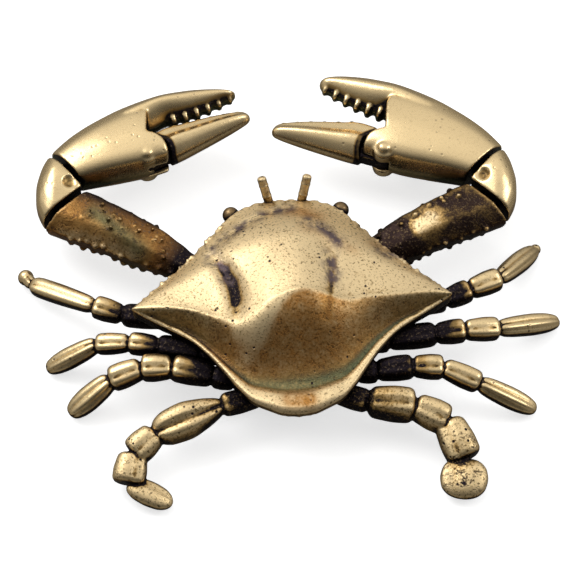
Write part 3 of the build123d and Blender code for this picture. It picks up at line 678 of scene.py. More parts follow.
# %% [markdown]
# ## Claw arms
# Each arm has an upper arm, a wrist wedge, a hand and a movable finger, hinged on upright pins. Both arms
# are cast as a right arm lying along X, then turned into place; the left one is mirrored. The places of
# the hinges come from the record, so the pieces turn about the very lines that the CAD model turns about.

# %% Places of the arms
arm_length, arm_width, arm_depth, claw_height = 18.0, 6.4, 4.5, 5.6
hand_length, finger_length, joint_gap, pin_setback = 21.6, 13.0, 0.8, 1.9
elbow_slant, wrist_turn, hand_slant = 22.0, 90.0, 17.0
claw_voxel, fine_voxel = 0.13, 0.12
arm_roots = {"right": (0.613 * belly_half_width, 0.539 * belly_half_length),
             "left": (0.903 * belly_half_width, 0.531 * belly_half_length)}
arm_headings = {"right": 22.4, "left": 28.5}
wrist_rest = {"right": -1.0, "left": 2.0}
finger_rest = {"right": 9.0, "left": -6.0}


def turn(angle, about=(0, 0)):
    """Turn in degrees about an upright line."""
    to, back = Matrix.Translation((*about, 0)), Matrix.Translation((-about[0], -about[1], 0))
    return to @ Matrix.Rotation(math.radians(angle), 4, "Z") @ back


def heading(angle):
    return np.array([math.cos(math.radians(angle)), math.sin(math.radians(angle))])


elbow_way, wrist_way = heading(elbow_slant), heading(elbow_slant + wrist_turn)
elbow_middle = np.array([arm_length, 0.0])
inner_corner = elbow_middle + heading(elbow_slant + 90) * 3.1
wrist_middle = inner_corner + heading(elbow_slant + wrist_turn - 90) * 3.5
elbow_pin = elbow_middle - elbow_way * pin_setback
wrist_pin = wrist_middle - wrist_way * pin_setback
places = {}
for side in ("right", "left"):
    root = Matrix.Translation((*arm_roots[side], 0)) @ turn(arm_headings[side])
    hand = root @ turn(wrist_rest[side], wrist_pin) @ Matrix.Translation((*wrist_middle, 0)) @ \
        turn(elbow_slant + wrist_turn + hand_slant)
    mirror = Matrix.Diagonal((-1 if side == "left" else 1, 1, 1, 1))
    places[side] = {"arm": mirror @ root, "hand": mirror @ hand}
    found = mirror @ root @ Vector((*elbow_pin, claw_height))
    print(side, "elbow misses its hinge by", round((found - hinge[side + "_elbow_hinge"]).length, 4), "mm")


# %% Hinges: eyes, forks and their cutters
eye_thickness, play, gap = 1.5, 0.10, 0.32
arm_eye, finger_eye = 1.15, 1.0
pin_radius, bore_radius = 0.55, 0.60


def eye_plate(radius, length, matrix):
    """Flat eye about a pin, reaching along X into its own piece."""
    z0, z1 = claw_height - eye_thickness / 2, claw_height + eye_thickness / 2
    return all_moved([rod((0, 0, z0), (0, 0, z1), radius),
                      block((0, -radius, z0), (length, radius, z1))], matrix)


def fork_room(radius, length, travel, matrix):
    """Room for an eye between the two ears of a fork, over its travel in degrees."""
    room, half = radius + gap, eye_thickness / 2 + play
    z0, z1 = claw_height - half, claw_height + half
    made = [moved(rod((0, 0, z0), (0, 0, z1), room), matrix)]
    for angle in travel:
        made.append(moved(block((0, -room, z0), (length, room, z1)), matrix @ turn(angle)))
    return made


def sector(inner, outer, start, end, reach, matrix, steps=40):
    """Part of a thick ring about an upright line, between two angles in degrees, twice the reach high."""
    low, high = claw_height - reach, claw_height + reach
    section = ((inner, low), (outer, low), (outer, high), (inner, high))
    rings = []
    for angle in np.linspace(start, end, steps):
        rings.append([(*(heading(angle) * radius), height) for radius, height in section])
    return moved(skin(rings), matrix)


def pin_bore(matrix):
    return moved(rod((0, 0, 0), (0, 0, 2 * claw_height), bore_radius), matrix)


def at(point, angle=0):
    return Matrix.Translation((point[0], point[1], 0)) @ turn(angle)


def slab(point, way, reach=30.0):
    """Everything on the near side of an upright face through a point, its normal along the way."""
    side = np.array([-way[1], way[0]])
    corners = [point - side * reach, point + side * reach, point + side * reach - way * reach,
               point - side * reach - way * reach]
    return skin([[(x, y, z) for x, y in corners] for z in (-reach, reach)])


# %% [markdown]
# ## Upper arms
# The upper arm is six sided and grows from a thin root to the elbow. Its edges carry rows of knobs, and
# its broad face is granulated. The rows of knobs repeat along an edge, so the bead tree sets them.

# %% Upper arms
arm_rows = [(-0.067, 0.75, 0.190, 0.26), (0.055, 0.75, 0.215, 0.28), (0.165, 0.755, 0.250, 0.30),
            (0.25, 0.78, 0.320, 0.33), (0.40, 0.88, 0.400, 0.43), (0.66, 0.98, 0.455, 0.49),
            (0.88, 1.0, 0.500, 0.50), (1.12, 1.0, 0.530, 0.50)]
arm_corners = [(1.0, -0.15), (0.62, 0.92), (-0.45, 1.0), (-1.0, 0.25), (-0.70, -0.90), (0.55, -1.0)]


def arm_line(corner, start, end, count=60, out=1.0):
    """A path along one corner of the arm."""
    along = np.linspace(start, end, count)
    table = rows_at(arm_rows, along)
    y, z = arm_corners[corner] if isinstance(corner, int) else corner
    return np.column_stack([along * arm_length, table[:, 1] * arm_width * y * out,
                            claw_height * table[:, 0] + table[:, 2] * arm_depth * z * out])


def arm_skins(side):
    along = np.linspace(arm_rows[0][0], arm_rows[-1][0], 60)
    table = rows_at(arm_rows, along)
    section = ring_of(arm_corners, 60, 0.30)
    rings = []
    for share, (height, width, depth) in zip(along, table):
        wobble = 1 + 0.012 * math.sin(share * 31) + 0.010 * math.sin(share * 53 + 1)
        rings.append([(share * arm_length, arm_width * width * y * wobble,
                       claw_height * height + arm_depth * depth * z) for y, z in section])
    made = [skin(rings), rod((-1.2 - peg_length, 0, 4.2), (-1.0, 0, 4.2), peg_radius)]
    seed = 11 if side == "left" else 23
    made.append(beads(arm_line(4, 0.22, 0.90, out=0.97), 11, 0.30, 0.52, 0.22, seed))
    made.append(beads(arm_line(3, 0.22, 0.92, out=0.97), 16, 0.22, 0.42, 0.25, seed + 1))
    made.append(beads(arm_line(0, 0.35, 0.85, out=0.98), 6, 0.30, 0.50, 0.20, seed + 2))
    if side == "left":
        made.append(beads(arm_line((-0.2, 0.95), 0.3, 0.9), 30, 0.16, 0.27, 0.75, seed + 3))
        made.append(beads(arm_line((0.2, 0.93), 0.35, 0.9), 26, 0.14, 0.25, 0.65, seed + 4))
    else:
        made.append(beads(arm_line((0.35, 0.9), 0.3, 0.85), 14, 0.16, 0.30, 0.55, seed + 3))
    return made


for side in ("left", "right"):
    arm = places[side]["arm"]
    cutters = [slab(elbow_middle - elbow_way * joint_gap / 2, -elbow_way)]
    cutters += fork_room(arm_eye, arm_width, (-5, 0), at(elbow_pin, elbow_slant))
    cast(side + "_upper_arm", "crab_body", all_moved(arm_skins(side), arm), all_moved(cutters, arm),
         voxel=claw_voxel, passes=2)

# %% [markdown]
# ## Wrists
# The wrist is a wedge with a bright hump, a dimple at its inner corner and a dark crease each side. It is
# built as layers of one plan outline, the outer layers drawn in, which rounds it over as a cast piece is.

# %% Wrists
wrist_outline = [(-0.30, 0.50), (-0.05, -0.42), (0.22, -0.42), (0.48, -0.20), (0.66, 0.15), (0.74, 0.55),
                 (0.70, 0.90), (0.40, 1.00)]
wrist_peak = np.array([arm_length + arm_width * 0.42, arm_width * 0.42])
wrist_layers = [(-0.50, 0.30), (-0.47, 0.55), (-0.38, 0.80), (-0.24, 0.96), (0.0, 1.0), (0.17, 0.985),
                (0.27, 0.92), (0.35, 0.80), (0.43, 0.60), (0.50, 0.36), (0.54, 0.14)]
wrist_depth, dimple_rise = 5.4, 2.70
dimple_place = inner_corner + elbow_way * 1.3 - wrist_way * 1.2


def wrist_skin():
    plan = ring_of([(arm_length + arm_width * x, arm_width * y) for x, y in wrist_outline], 72, 0.34)
    rings = []
    for height, size in wrist_layers:
        flat = wrist_peak + (plan - wrist_peak) * size
        rings.append(np.column_stack([flat, np.full(len(flat), claw_height + wrist_depth * height)]))
    return skin(rings)


for side in ("left", "right"):
    arm = places[side]["arm"]
    cutters = [slab(elbow_middle + elbow_way * joint_gap / 2, elbow_way),
               slab(wrist_middle - wrist_way * joint_gap / 2, -wrist_way)]
    cutters += fork_room(arm_eye, arm_width, (-7, 2), at(wrist_pin, elbow_slant + wrist_turn))
    cutters.append(ball((*dimple_place, claw_height + dimple_rise), (0.95, 0.95, 0.55)))
    wedge = side + "_wrist"
    made = melt(joined(wedge, [moved(wrist_skin(), arm)]), claw_voxel)
    melt(cut(made, all_moved(cutters, arm)), claw_voxel)
    eye = all_moved(eye_plate(arm_eye, pin_setback + 2 * joint_gap, at(elbow_pin, elbow_slant)), arm)
    cast(wedge, side + "_wrist_group", [taken(made), *eye], [moved(pin_bore(at(elbow_pin)), arm)],
         voxel=fine_voxel, passes=2)

# %% [markdown]
# ## Hands
# The hand is the show piece: a smooth palm whose broad top meets a steep side at a long ridge, running
# out into the fixed finger with its row of blunt teeth. An oval section would lose the ridge, so the
# section is drawn by its corners. The teeth repeat along the finger's edge and shrink to its tip, so a
# second tree sets them.

# %% Hands
palm_rows = [(-0.08, -0.120, 0.090, 0.085), (0.02, -0.170, 0.125, 0.105), (0.12, -0.208, 0.150, 0.122),
             (0.26, -0.240, 0.188, 0.135), (0.42, -0.260, 0.224, 0.138), (0.62, -0.252, 0.236, 0.124)]
finger_rows = [(0.40, -0.256, -0.010, 0.112), (0.49, -0.255, -0.030, 0.116), (0.60, -0.250, -0.050, 0.114),
               (0.74, -0.229, -0.038, 0.096), (0.88, -0.187, -0.044, 0.072), (0.955, -0.150, -0.052, 0.058),
               (0.985, -0.128, -0.062, 0.042), (1.0, -0.108, -0.080, 0.018)]
knuckle, knuckle_gap, open_sector = 2.45, 0.30, (-67, 60)
boss_radius, boss_reach, rivet = 1.25, 2.15, (0.72, 0.72, 0.42)
palm_inner = {"right": 1.0, "left": 0.72}
finger_inner = {"right": 0.0, "left": -0.035}
bite_reach = (0.635, 0.955)
pin_place = {"right": (0.500, 0.180), "left": (0.410, 0.090)}
palm_section = [(-1.0, 0.0), (-0.86, 0.50), (-0.45, 0.88), (0.10, 1.0), (0.60, 0.93), (0.84, 0.72),
                (1.0, 0.08), (0.88, -0.52), (0.35, -0.92), (-0.30, -0.95), (-0.84, -0.50)]
finger_section = [(-1.0, 0.0), (-0.80, 0.58), (-0.25, 1.0), (0.25, 0.86), (0.75, 0.42), (1.0, 0.0),
                  (0.75, -0.45), (0.1, -0.9), (-0.75, -0.6)]


def lofted(rows, length, section, roundness, slim=1.0, shift=0.0, count=70):
    """Skin of a claw piece along X, from rows of (along, outer, inner, half depth), shares of its length."""
    along = np.linspace(rows[0][0], rows[-1][0], count)
    table = rows_at(rows, along)
    ring = ring_of(section, 64, roundness)
    rings = []
    for share, (outer, inner, depth) in zip(along, table):
        inner = inner * slim + shift
        middle, half = (outer + inner) / 2, (inner - outer) / 2
        rings.append([(share * length, (middle + half * y) * length, claw_height + depth * z * length)
                      for y, z in ring])
    return skin(rings)


def edge_path(rows, column, length, start, end, slim=1.0, shift=0.0, lift=0.0, inset=0.0, count=60):
    along = np.linspace(start, end, count)
    table = rows_at(rows, along)
    y = table[:, column] * slim + shift
    return np.column_stack([along * length, y * length - inset, np.full(count, claw_height + lift)])


def tooth_tree():
    """Blunt teeth along a path, each taller than wide, largest at its start."""
    tree, inputs, resample, instance = path_tree(
        "teeth along a path", [("Count", 8), ("Size", 0.7), ("Tip size", 0.4), ("Height", 1.2)], 3)
    add, link = tree.nodes.new, tree.links.new
    spline, ease = add("GeometryNodeSplineParameter"), add("ShaderNodeMapRange")
    taller, shape = add("ShaderNodeMath"), add("ShaderNodeCombineXYZ")
    taller.operation = "MULTIPLY"
    link(spline.outputs["Factor"], ease.inputs["Value"])
    link(inputs.outputs["Size"], ease.inputs["To Min"])
    link(inputs.outputs["Tip size"], ease.inputs["To Max"])
    link(ease.outputs["Result"], taller.inputs[0])
    link(inputs.outputs["Height"], taller.inputs[1])
    link(ease.outputs["Result"], shape.inputs["X"])
    link(taller.outputs[0], shape.inputs["Y"])
    link(taller.outputs[0], shape.inputs["Z"])
    link(shape.outputs[0], instance.inputs["Scale"])
    return tree


tooth_nodes = tooth_tree()


def teeth(path, height, count=6, size=0.52, tip_size=0.36):
    return grown(tooth_nodes, path, Count=count, Size=size, **{"Tip size": tip_size}, Height=height)


# %% Hands: cast
palm_way = heading(-hand_slant)
hand_start = palm_way * joint_gap / 2
wrist_in_hand = -palm_way * pin_setback
for side in ("left", "right"):
    slim, shift = palm_inner[side], finger_inner[side]
    finger_pin = np.array(pin_place[side]) * hand_length
    palm_end = pin_place[side][0] + knuckle / hand_length
    palm_part = [r for r in palm_rows if r[0] < palm_end - 0.03]
    last = rows_at(palm_rows, np.array([palm_end]))[0]
    palm_part.append((palm_end - 0.012, *last))
    palm_part.append((palm_end, last[0] * 0.97, last[1] * 0.97, last[2] * 0.93))
    palm = melt(joined("palm", [lofted(palm_part, hand_length, palm_section, 0.34, slim)]), claw_voxel)
    cut(palm, [sector(knuckle, finger_length, *open_sector, hand_length, at(finger_pin))])
    skins = [taken(palm),
             lofted(finger_rows, hand_length, finger_section, 0.45, 1.0, shift),
             teeth(edge_path(finger_rows, 1, hand_length, *bite_reach, 1.0, shift, inset=0.40), height=2.10),
             rod((*finger_pin, claw_height - boss_reach), (*finger_pin, claw_height + boss_reach),
                 boss_radius, ends=0.25),
             ball((*finger_pin, claw_height + boss_reach + 0.20), rivet)]
    made = melt(joined("hand", skins), claw_voxel)
    cutters = [slab(hand_start, palm_way)]
    cutters += fork_room(finger_eye, finger_length, (-7, 10), at(finger_pin))
    melt(cut(made, cutters), claw_voxel)
    eye = eye_plate(arm_eye, pin_setback + 2 * joint_gap, at(wrist_in_hand, -hand_slant))
    hand = places[side]["hand"]
    cast(side + "_hand", side + "_hand_group", all_moved([taken(made), *eye], hand),
         [moved(pin_bore(at(wrist_in_hand)), hand)], voxel=fine_voxel, passes=2)

# %% [markdown]
# ## Movable fingers and pins
# The movable finger hangs on an eye between the ears of the palm. A long ridge runs along it, small teeth
# line its biting edge, and its root is hollowed to turn round the palm's knuckle. The pins are short rods
# with rounded rims.

# %% Movable fingers
moving_rows = [(0.12, -0.270, 0.105, 0.135), (0.14, -0.292, 0.116, 0.152), (0.27, -0.298, 0.120, 0.165),
               (0.47, -0.245, 0.112, 0.148), (0.735, -0.165, 0.096, 0.118), (0.92, -0.090, 0.078, 0.082),
               (0.975, -0.055, 0.066, 0.056), (1.0, -0.010, 0.040, 0.020)]
moving_section = [(-1.0, 0.0), (-0.86, 0.48), (-0.30, 0.66), (0.08, 1.0), (0.50, 0.84), (0.90, 0.44),
                  (1.0, 0.0), (0.8, -0.5), (0.1, -0.95), (-0.75, -0.6)]
slim_finger = {"right": 0.90, "left": 0.72}
for side in ("left", "right"):
    rows = [(along, outer * slim_finger[side], inner, deep) for along, outer, inner, deep in moving_rows]
    skins = [lofted(rows, finger_length, moving_section, 0.36),
             teeth(edge_path(rows, 0, finger_length, 0.36, 0.92, inset=-0.12), height=1.0)]
    made = melt(joined("finger", skins), fine_voxel)
    socket = rod((0, 0, -finger_length), (0, 0, finger_length), knuckle + knuckle_gap, sides=72)
    melt(cut(made, [socket]), fine_voxel)
    skins = [taken(made), *eye_plate(finger_eye, finger_length * 0.2 + 2 * joint_gap, Matrix.Identity(4))]
    finger_pin = np.array(pin_place[side]) * hand_length
    place = places[side]["hand"] @ at(finger_pin, finger_rest[side])
    cast(side + "_finger", side + "_finger_group", all_moved(skins, place),
         [moved(pin_bore(Matrix.Identity(4)), place)], voxel=0.11, passes=2)

# %% Pins
pins = {"elbow": ("elbow_hinge", 4.2, "crab_body"), "wrist": ("wrist_hinge", 4.8, "wrist_group"),
        "finger": ("finger_hinge", 4.8, "hand_group")}
for side in ("left", "right"):
    for joint, (place_name, length, body) in pins.items():
        centre = np.array(hinge[side + "_" + place_name])
        low, high = centre - (0, 0, length / 2), centre + (0, 0, length / 2)
        owner = body if body == "crab_body" else side + "_" + body
        pin = rod(low, high, pin_radius, ends=0.35)
        cast(side + "_" + joint + "_pin", owner, [pin], voxel=0.06, passes=1)

# %% [markdown]
# ## Where the black stays, and painted shade
# After its black bath the crab was rubbed bright. What a cloth can't reach stays dark: creases, the foot
# of each tooth, the undersides. Steep sides and undersides are darkened further as painted shade, and so is
# metal near the table. A painted mask would have to be drawn by hand. Instead each point of the metal looks
# out along a few fixed directions, and the share that is blocked nearby, with how hollow the surface is
# there, becomes an attribute that the finish reads.

# %% All pieces in one tree of faces
def piece_normals(mesh):
    normals = np.zeros(len(mesh.vertices) * 3)
    mesh.vertices.foreach_get("normal", normals)
    return normals.reshape(-1, 3)


all_points, all_faces, start = [], [], 0
for name, (made, body, nodes) in castings.items():
    turned_out(made)
    points = coordinates(made.data)
    all_points.append(points)
    all_faces += [tuple(start + corner for corner in polygon.vertices) for polygon in made.data.polygons]
    start += len(points)
tree = BVHTree.FromPolygons(np.concatenate(all_points).tolist(), all_faces)
print("faces to look past:", len(all_faces))


# %% Hollows and reach
def looks(count):
    """Even directions over a hemisphere about Z, closer together near its top."""
    number = np.arange(count) + 0.5
    up = np.sqrt(1 - number / count * 0.94)
    around = number * math.pi * (1 + 5 ** 0.5)
    flat = np.sqrt(1 - up ** 2)
    return np.stack([flat * np.cos(around), flat * np.sin(around), up], 1)


def blocked_share(points, normals, count=12, reach=3.2):
    """Share of the looks from each point that meet metal or the table nearby; looks that meet the table give
    painted shade near the table.
    """
    first = np.where(np.abs(normals[:, 2:]) < 0.9, (0.0, 0.0, 1.0), (1.0, 0.0, 0.0))
    across = np.cross(normals, first)
    across /= np.linalg.norm(across, axis=1, keepdims=True)
    other = np.cross(normals, across)
    total = np.zeros(len(points))
    origin = points + normals * 0.06
    for look in looks(count):
        ways = across * look[0] + other * look[1] + normals * look[2]
        for number, (place, way) in enumerate(zip(origin.tolist(), ways.tolist())):
            hit = tree.ray_cast(place, way, reach)
            if hit[3] is not None:
                total[number] += 1 - 0.6 * hit[3] / reach
            # a look that reaches the table adds painted shade on metal near the table
            elif way[2] < 0 and -place[2] / way[2] < reach:
                total[number] += 0.5
    return total / count


def hollow(mesh, points, normals, passes):
    """How far the surface lies below its own smoothed shape, in millimetres."""
    ends, smooth = edge_ends(mesh), points
    for _ in range(passes):
        smooth = smooth + 0.6 * (neighbours_mean(ends, smooth, len(points)) - smooth)
    return ((smooth - points) * normals).sum(1)


def write_attribute(mesh, name, values):
    layer = mesh.attributes.new(name, "FLOAT", "POINT")
    layer.data.foreach_set("value", np.clip(values, 0, 1).astype(np.float32))


def near_line(points, line, width):
    """1 on a line seen from above, fading away from it."""
    line = np.asarray(line, float)
    dense = smooth_between(np.arange(len(line)), line, np.linspace(0, len(line) - 1, 30))
    away = np.min([np.hypot(points[:, 0] - x, points[:, 1] - y) for x, y in dense], axis=0)
    return np.exp(-(away / width) ** 2)


trial = np.array([(0, 0, 0), (0, 1, 0)])
print("on a line and one width away:", near_line(trial, [(0, 0), (1, 0)], 1.0).round(2))


# %% What the shape alone decides
crevice_patina_and_table_shade, free_view, hollow_black, groove_black, ridge_bright = 1.7, 0.05, 9.0, 12.0, 1.5
edge_wear, ridge_wear, shelter = 12.0, 3.0, 0.8
side_starts, side_range = 0.50, 0.55
steep_side_patina_and_shade_by_piece = {"_walking_": 1.0, "_antenna": 0.05}


def steep_side_patina_and_shade(name):
    """How much darker steep sides and undersides of a piece are: partly black patina, partly painted shade.
    """
    for word, shade in steep_side_patina_and_shade_by_piece.items():
        if word in name:
            return shade
    return 0.62


def first_coat(name, mesh, points, normals):
    """Dark in hollows and on steep sides, worn on edges; also gives how hollow the surface is. The dark of
    steep sides and undersides is partly painted shade.
    """
    ends = edge_ends(mesh)
    blocked = blocked_share(points, normals)
    for _ in range(3):
        blocked = 0.5 * blocked + 0.5 * neighbours_mean(ends, blocked, len(points))
    fine, broad = hollow(mesh, points, normals, 3), hollow(mesh, points, normals, 16)
    # blocked looks: patina in crevices, and painted shade where the table blocks
    dark = crevice_patina_and_table_shade * (blocked - free_view) + hollow_black * np.maximum(broad, 0)
    dark += groove_black * np.maximum(fine, 0) - ridge_bright * np.maximum(-broad, 0)
    # steep sides and undersides darker: partly patina that the cloth missed, partly painted shade
    dark += steep_side_patina_and_shade(name) * np.clip((side_starts - normals[:, 2]) / side_range, 0, 1)
    worn = edge_wear * np.maximum(-fine, 0) + ridge_wear * np.maximum(-broad, 0) - shelter * blocked
    coat = {"dark": dark, "worn": worn}
    for title in ("orange", "green", "violet", "pitted"):
        coat[title] = np.zeros(len(points))
    return coat, fine, broad


print("sides of an antenna are darkened by", steep_side_patina_and_shade("left_antenna"))

# %% [markdown]
# ## Marks of the bath, and painted shade and reflection
# The bath and the cloth also left marks that the shape doesn't explain: black roots of legs and arms, and
# violet smears along the front. Painted light is laid in the same way: the roots are darkened partly as
# painted shade under the shell, the shell's brown-orange rear slope over a green valley is painted shade
# and reflection, and the claws' bright low rim with its green flute is painted highlight and reflection.
# They could be painted in an image. A few lines seen from above, each with a width, say the same and stay
# sharp at any size.

# %% Marks on legs
bright_from = {"left_walking_leg_1": 0.50, "left_walking_leg_2": 0.41, "left_walking_leg_3": 0.26,
               "right_walking_leg_1": 0.52, "right_walking_leg_2": 0.43, "right_walking_leg_3": 0.33}
pitted_blades = {"left_paddle_leg": 0.10, "right_paddle_leg": 0.26}
blade_reach, seam_reach = 2.4, 1.6
leg_shade, leg_root_patina_and_shade, oar_root_patina_and_shade, seam_black = 0.35, 0.75, 0.80, 0.50


def mark_leg(name, coat, points, relief):
    """Black from the root to a share of the leg, partly patina and partly painted shade near and under the
    shell, and at the joints; pits on the oars' blades.
    """
    knees = np.array({**walking_legs, **paddle_legs}[name])[:, :2] * half_span
    from_root = np.linalg.norm(points[:, :2] - knees[0], axis=1) / np.linalg.norm(knees[-1] - knees[0])
    # towards the body the legs are darkened: black patina and painted shade near and under the shell
    if name in bright_from:
        coat["dark"] += leg_shade * np.clip(1.50 - 1.7 * from_root, 0, 1)
        coat["dark"] += leg_root_patina_and_shade * np.clip((bright_from[name] + 0.08 - from_root) / 0.17, 0, 1)
    else:
        coat["dark"] += oar_root_patina_and_shade * np.clip(1.50 - 2.7 * from_root, 0, 1)
    if name in pitted_blades:
        blade = near_line(points, knees[-2:], blade_reach)
        coat["pitted"] = blade * pitted_blades[name] / max(pitted_blades.values())
        coat["dark"] += pitted_blades[name] * blade
    seams = np.min([np.hypot(points[:, 0] - x, points[:, 1] - y) for x, y in knees[1:-1]], axis=0)
    coat["dark"] += seam_black * np.clip(seam_reach - seams, 0, 1) * (relief > -0.001)


print("legs with a bright end:", len(bright_from))

# %% Marks on arms, wrists, hands and fingers
gold_patch, gold_edge = [(14.6, 9.3), (15.9, 10.2)], [(-24.9, 11.0), (-17.2, 7.9)]
green_flute, black_edge = [(-21.1, 12.8), (-16.4, 8.4)], [(-22.4, 16.0), (-14.8, 12.2)]
shell_hides, shell_blend = 17.0, 2.5
socket_reach, socket_black, dimple_black = 3.55, 0.85, 0.30
low_rim, low_flute, low_width = 1.4, 3.0, 0.6
under_shell_patina_and_shade, edge_dark, bite_patina_and_shade = 0.80, 0.85, 0.80
rusty_arm_dark, rusty_arm_gold, black_arm_dark, black_arm_gold = 0.66, 0.45, 0.76, 0.66
arm_rust, arm_green, painted_rim_highlight, painted_low_green_reflection = 0.80, 0.95, 0.75, 0.75


def mark_arm(side, coat, points):
    """The left arm is rusty with a green flute, the right black with a gold patch, and both roots black,
    partly patina and partly painted shade where the shell hides them.
    """
    # where the shell hides the root: black patina and painted shade under the shell
    hidden = np.clip((shell_hides - np.hypot(points[:, 0], points[:, 1])) / shell_blend, 0, 1)
    coat["dark"] += under_shell_patina_and_shade * hidden
    if side == "left":
        edge, gold = near_line(points, black_edge, 1.3), near_line(points, gold_edge, 1.0)
        coat["dark"] += rusty_arm_dark + edge_dark * edge - rusty_arm_gold * gold
        coat["orange"] = arm_rust * (1 - hidden) * (1 - edge) * (1 - 0.5 * gold)
        coat["green"] = arm_green * near_line(points, green_flute, 1.0) * (1 - hidden)
        coat["pitted"] = np.full(len(points), 0.55)
    else:
        coat["dark"] += black_arm_dark - black_arm_gold * near_line(points, gold_patch, 1.25)
        coat["orange"] = np.full(len(points), 0.05)
        coat["pitted"] = np.full(len(points), 0.40)


def mark_hand(side, coat, points, normals, fine):
    """The biting edge is black between teeth, patina in the gaps and painted shade on the steep biting face;
    the low side has a painted highlight along its rim under a green flute of painted reflection.
    """
    place = places[side]["hand"]
    bite = edge_path(finger_rows, 1, hand_length, *bite_reach, 1.0, finger_inner[side])
    bite = bite @ np.array(place.to_3x3()).T + np.array(place.translation)
    # steep biting face: black patina between the teeth and painted shade under the top face
    between_teeth = np.where(fine > -0.006, 1.0, 0.60)
    off_top = normals[:, 2] < 0.80
    coat["dark"] += bite_patina_and_shade * near_line(points, bite[::6, :2], 1.0) * off_top * between_teeth
    steep = np.clip((0.62 - normals[:, 2]) / 0.2, 0, 1)
    height = points[:, 2] - points[:, 2].min()
    # painted highlight along the low rim of the steep side
    coat["dark"] -= painted_rim_highlight * np.exp(-((height - low_rim) / low_width) ** 2) * steep
    # painted green reflection in a band above that rim
    coat["green"] = painted_low_green_reflection * np.exp(-((height - low_flute) / low_width) ** 2) * steep


def mark_wrist(side, coat, points):
    corner = (places[side]["arm"] @ Vector((*dimple_place, 0)))[:2]
    coat["dark"] += dimple_black * near_line(points, [corner, corner], 0.75)


def mark_finger(side, coat, points):
    centre = hinge[side + "_finger_hinge"]
    from_pin = np.hypot(points[:, 0] - centre.x, points[:, 1] - centre.y)
    coat["dark"] += socket_black * np.clip((socket_reach - from_pin) / 0.3, 0, 1)


print("the wrist's dimple lies at", np.round(dimple_place, 2))

# %% Marks on the shell
# Each stain is a line, its width and its strength
stains = [([(-7.5, -5.4), (-3.0, -8.0)], 1.4, 0.5), ([(0.4, 10.7), (3.2, 9.9)], 1.1, 0.85),
          ([(2.0, 7.6), (6.8, 5.0)], 1.0, 0.40), ([(-0.7, -12.1), (1.0, -12.3)], 1.0, 1.6),
          ([(9.5, 6.6), (10.5, 6.0)], 0.8, 0.6)]
smudges = [(margin_line, 0.8), ([(-8.6, 5.2), (-7.6, 3.6), (-7.0, 2.2)], 0.9),
           ([(2.2, 8.8), (4.0, 7.4), (5.4, 5.8)], 0.9), ([(4.4, 3.4), (4.5, 0.8)], 1.0),
           ([(10.2, 5.6), (11.6, 4.8)], 0.8)]
black_lines = [(groove_left[1:4], 0.70, 0.80), (groove_right, 0.7, 0.14),
               ([(4.3, 0.6), (4.1, -2.0), (3.7, -4.0)], 0.27, 0.38)]
top_from = 6.6


def mark_shell(coat, points):
    """Brown-orange and darker on the rear slope except on its pale left flank, and green and darker in the
    valley: painted shade and reflection; black in the grooves.
    """
    on_top = points[:, 2] > top_from
    place = slope_place(points)
    flank = np.exp(-((points[:, 0] + 6.1 - 2.2 * np.clip(place, 0, 1)) / 2.3) ** 2)
    upper = (1.02 - 0.45 * flank - place) / (0.06 + 0.45 * flank)
    slope = np.clip(place / 0.10, 0, 1) * np.clip(upper, 0, 1) * on_top
    centre = np.exp(-((points[:, 0] - 1.5) / 10.0) ** 2)
    valley = np.exp(-((place - 0.03) / 0.13) ** 2) * np.exp(-((points[:, 0] - 3.0) / 9.5) ** 4) * on_top
    # brown-orange on the rear slope: painted reflection and shade; the lines below add orange stains
    coat["orange"] = slope * (0.30 + 0.70 * centre) * (1 - 0.8 * valley)
    for line, width, amount in stains:
        coat["orange"] += amount * near_line(points, line, width) * on_top
    # green in the valley and on the slope's outer sides: painted reflection
    coat["green"] = np.maximum(1.1 * valley, 0.45 * slope * (1 - centre) * (1 - flank))
    coat["violet"] = sum(near_line(points, line, width) for line, width in smudges) * on_top
    coat["pitted"] = 0.30 * slope
    # the rear slope and the valley are darkened: painted shade
    coat["dark"] += 0.36 * slope * (1 - 0.2 * flank) + 0.16 * valley
    for line, width, amount in black_lines:
        coat["dark"] += amount * near_line(points, line, width) * on_top


print("stains:", len(stains), "smudges:", len(smudges))

# %% Every piece gets its attributes
# the belly under the shell is darkened all over: black patina and painted shade
belly_patina_and_shade = 0.7
for name, (made, body, nodes) in castings.items():
    mesh = made.data
    points, normals = coordinates(mesh), piece_normals(mesh)
    coat, fine, broad = first_coat(name, mesh, points, normals)
    side, _, kind = name.partition("_")
    if name.endswith(tuple("123")) or kind == "paddle_leg":
        mark_leg(name, coat, points, fine + broad)
    elif kind == "upper_arm":
        mark_arm(side, coat, points)
    elif kind == "wrist":
        mark_wrist(side, coat, points)
    elif kind == "hand":
        mark_hand(side, coat, points, normals, fine)
    elif kind == "finger":
        mark_finger(side, coat, points)
    elif name == "carapace":
        mark_shell(coat, points)
    elif name == "underbody":
        coat["dark"] += belly_patina_and_shade
    for title, values in coat.items():
        write_attribute(mesh, title, values)
print("attributes written on", len(castings), "pieces")

# %% [markdown]
# ## Antiqued brass
# Real antiqued brass is one metal in four states: bright where rubbed, honey brown where the cloth only
# brushed it, rust or green where the bath ran, black in the hollows. The same orange and green also stand
# for painted reflection and shade on the shell's rear slope and valley, the green also on the claws' low
# sides, and brass specks on the black are a painted highlight. One shader blends them by the attributes,
# broken up by noise so that no border is clean. Pits are both darker and lower, through bump.

# %% Small tools for the shader
def map_range(nodes, start, end, low, high):
    """A Map Range node from start..end to low..high."""
    made = nodes.new("ShaderNodeMapRange")
    for title, number in (("From Min", start), ("From Max", end), ("To Min", low), ("To Max", high)):
        made.inputs[title].default_value = number
    return made


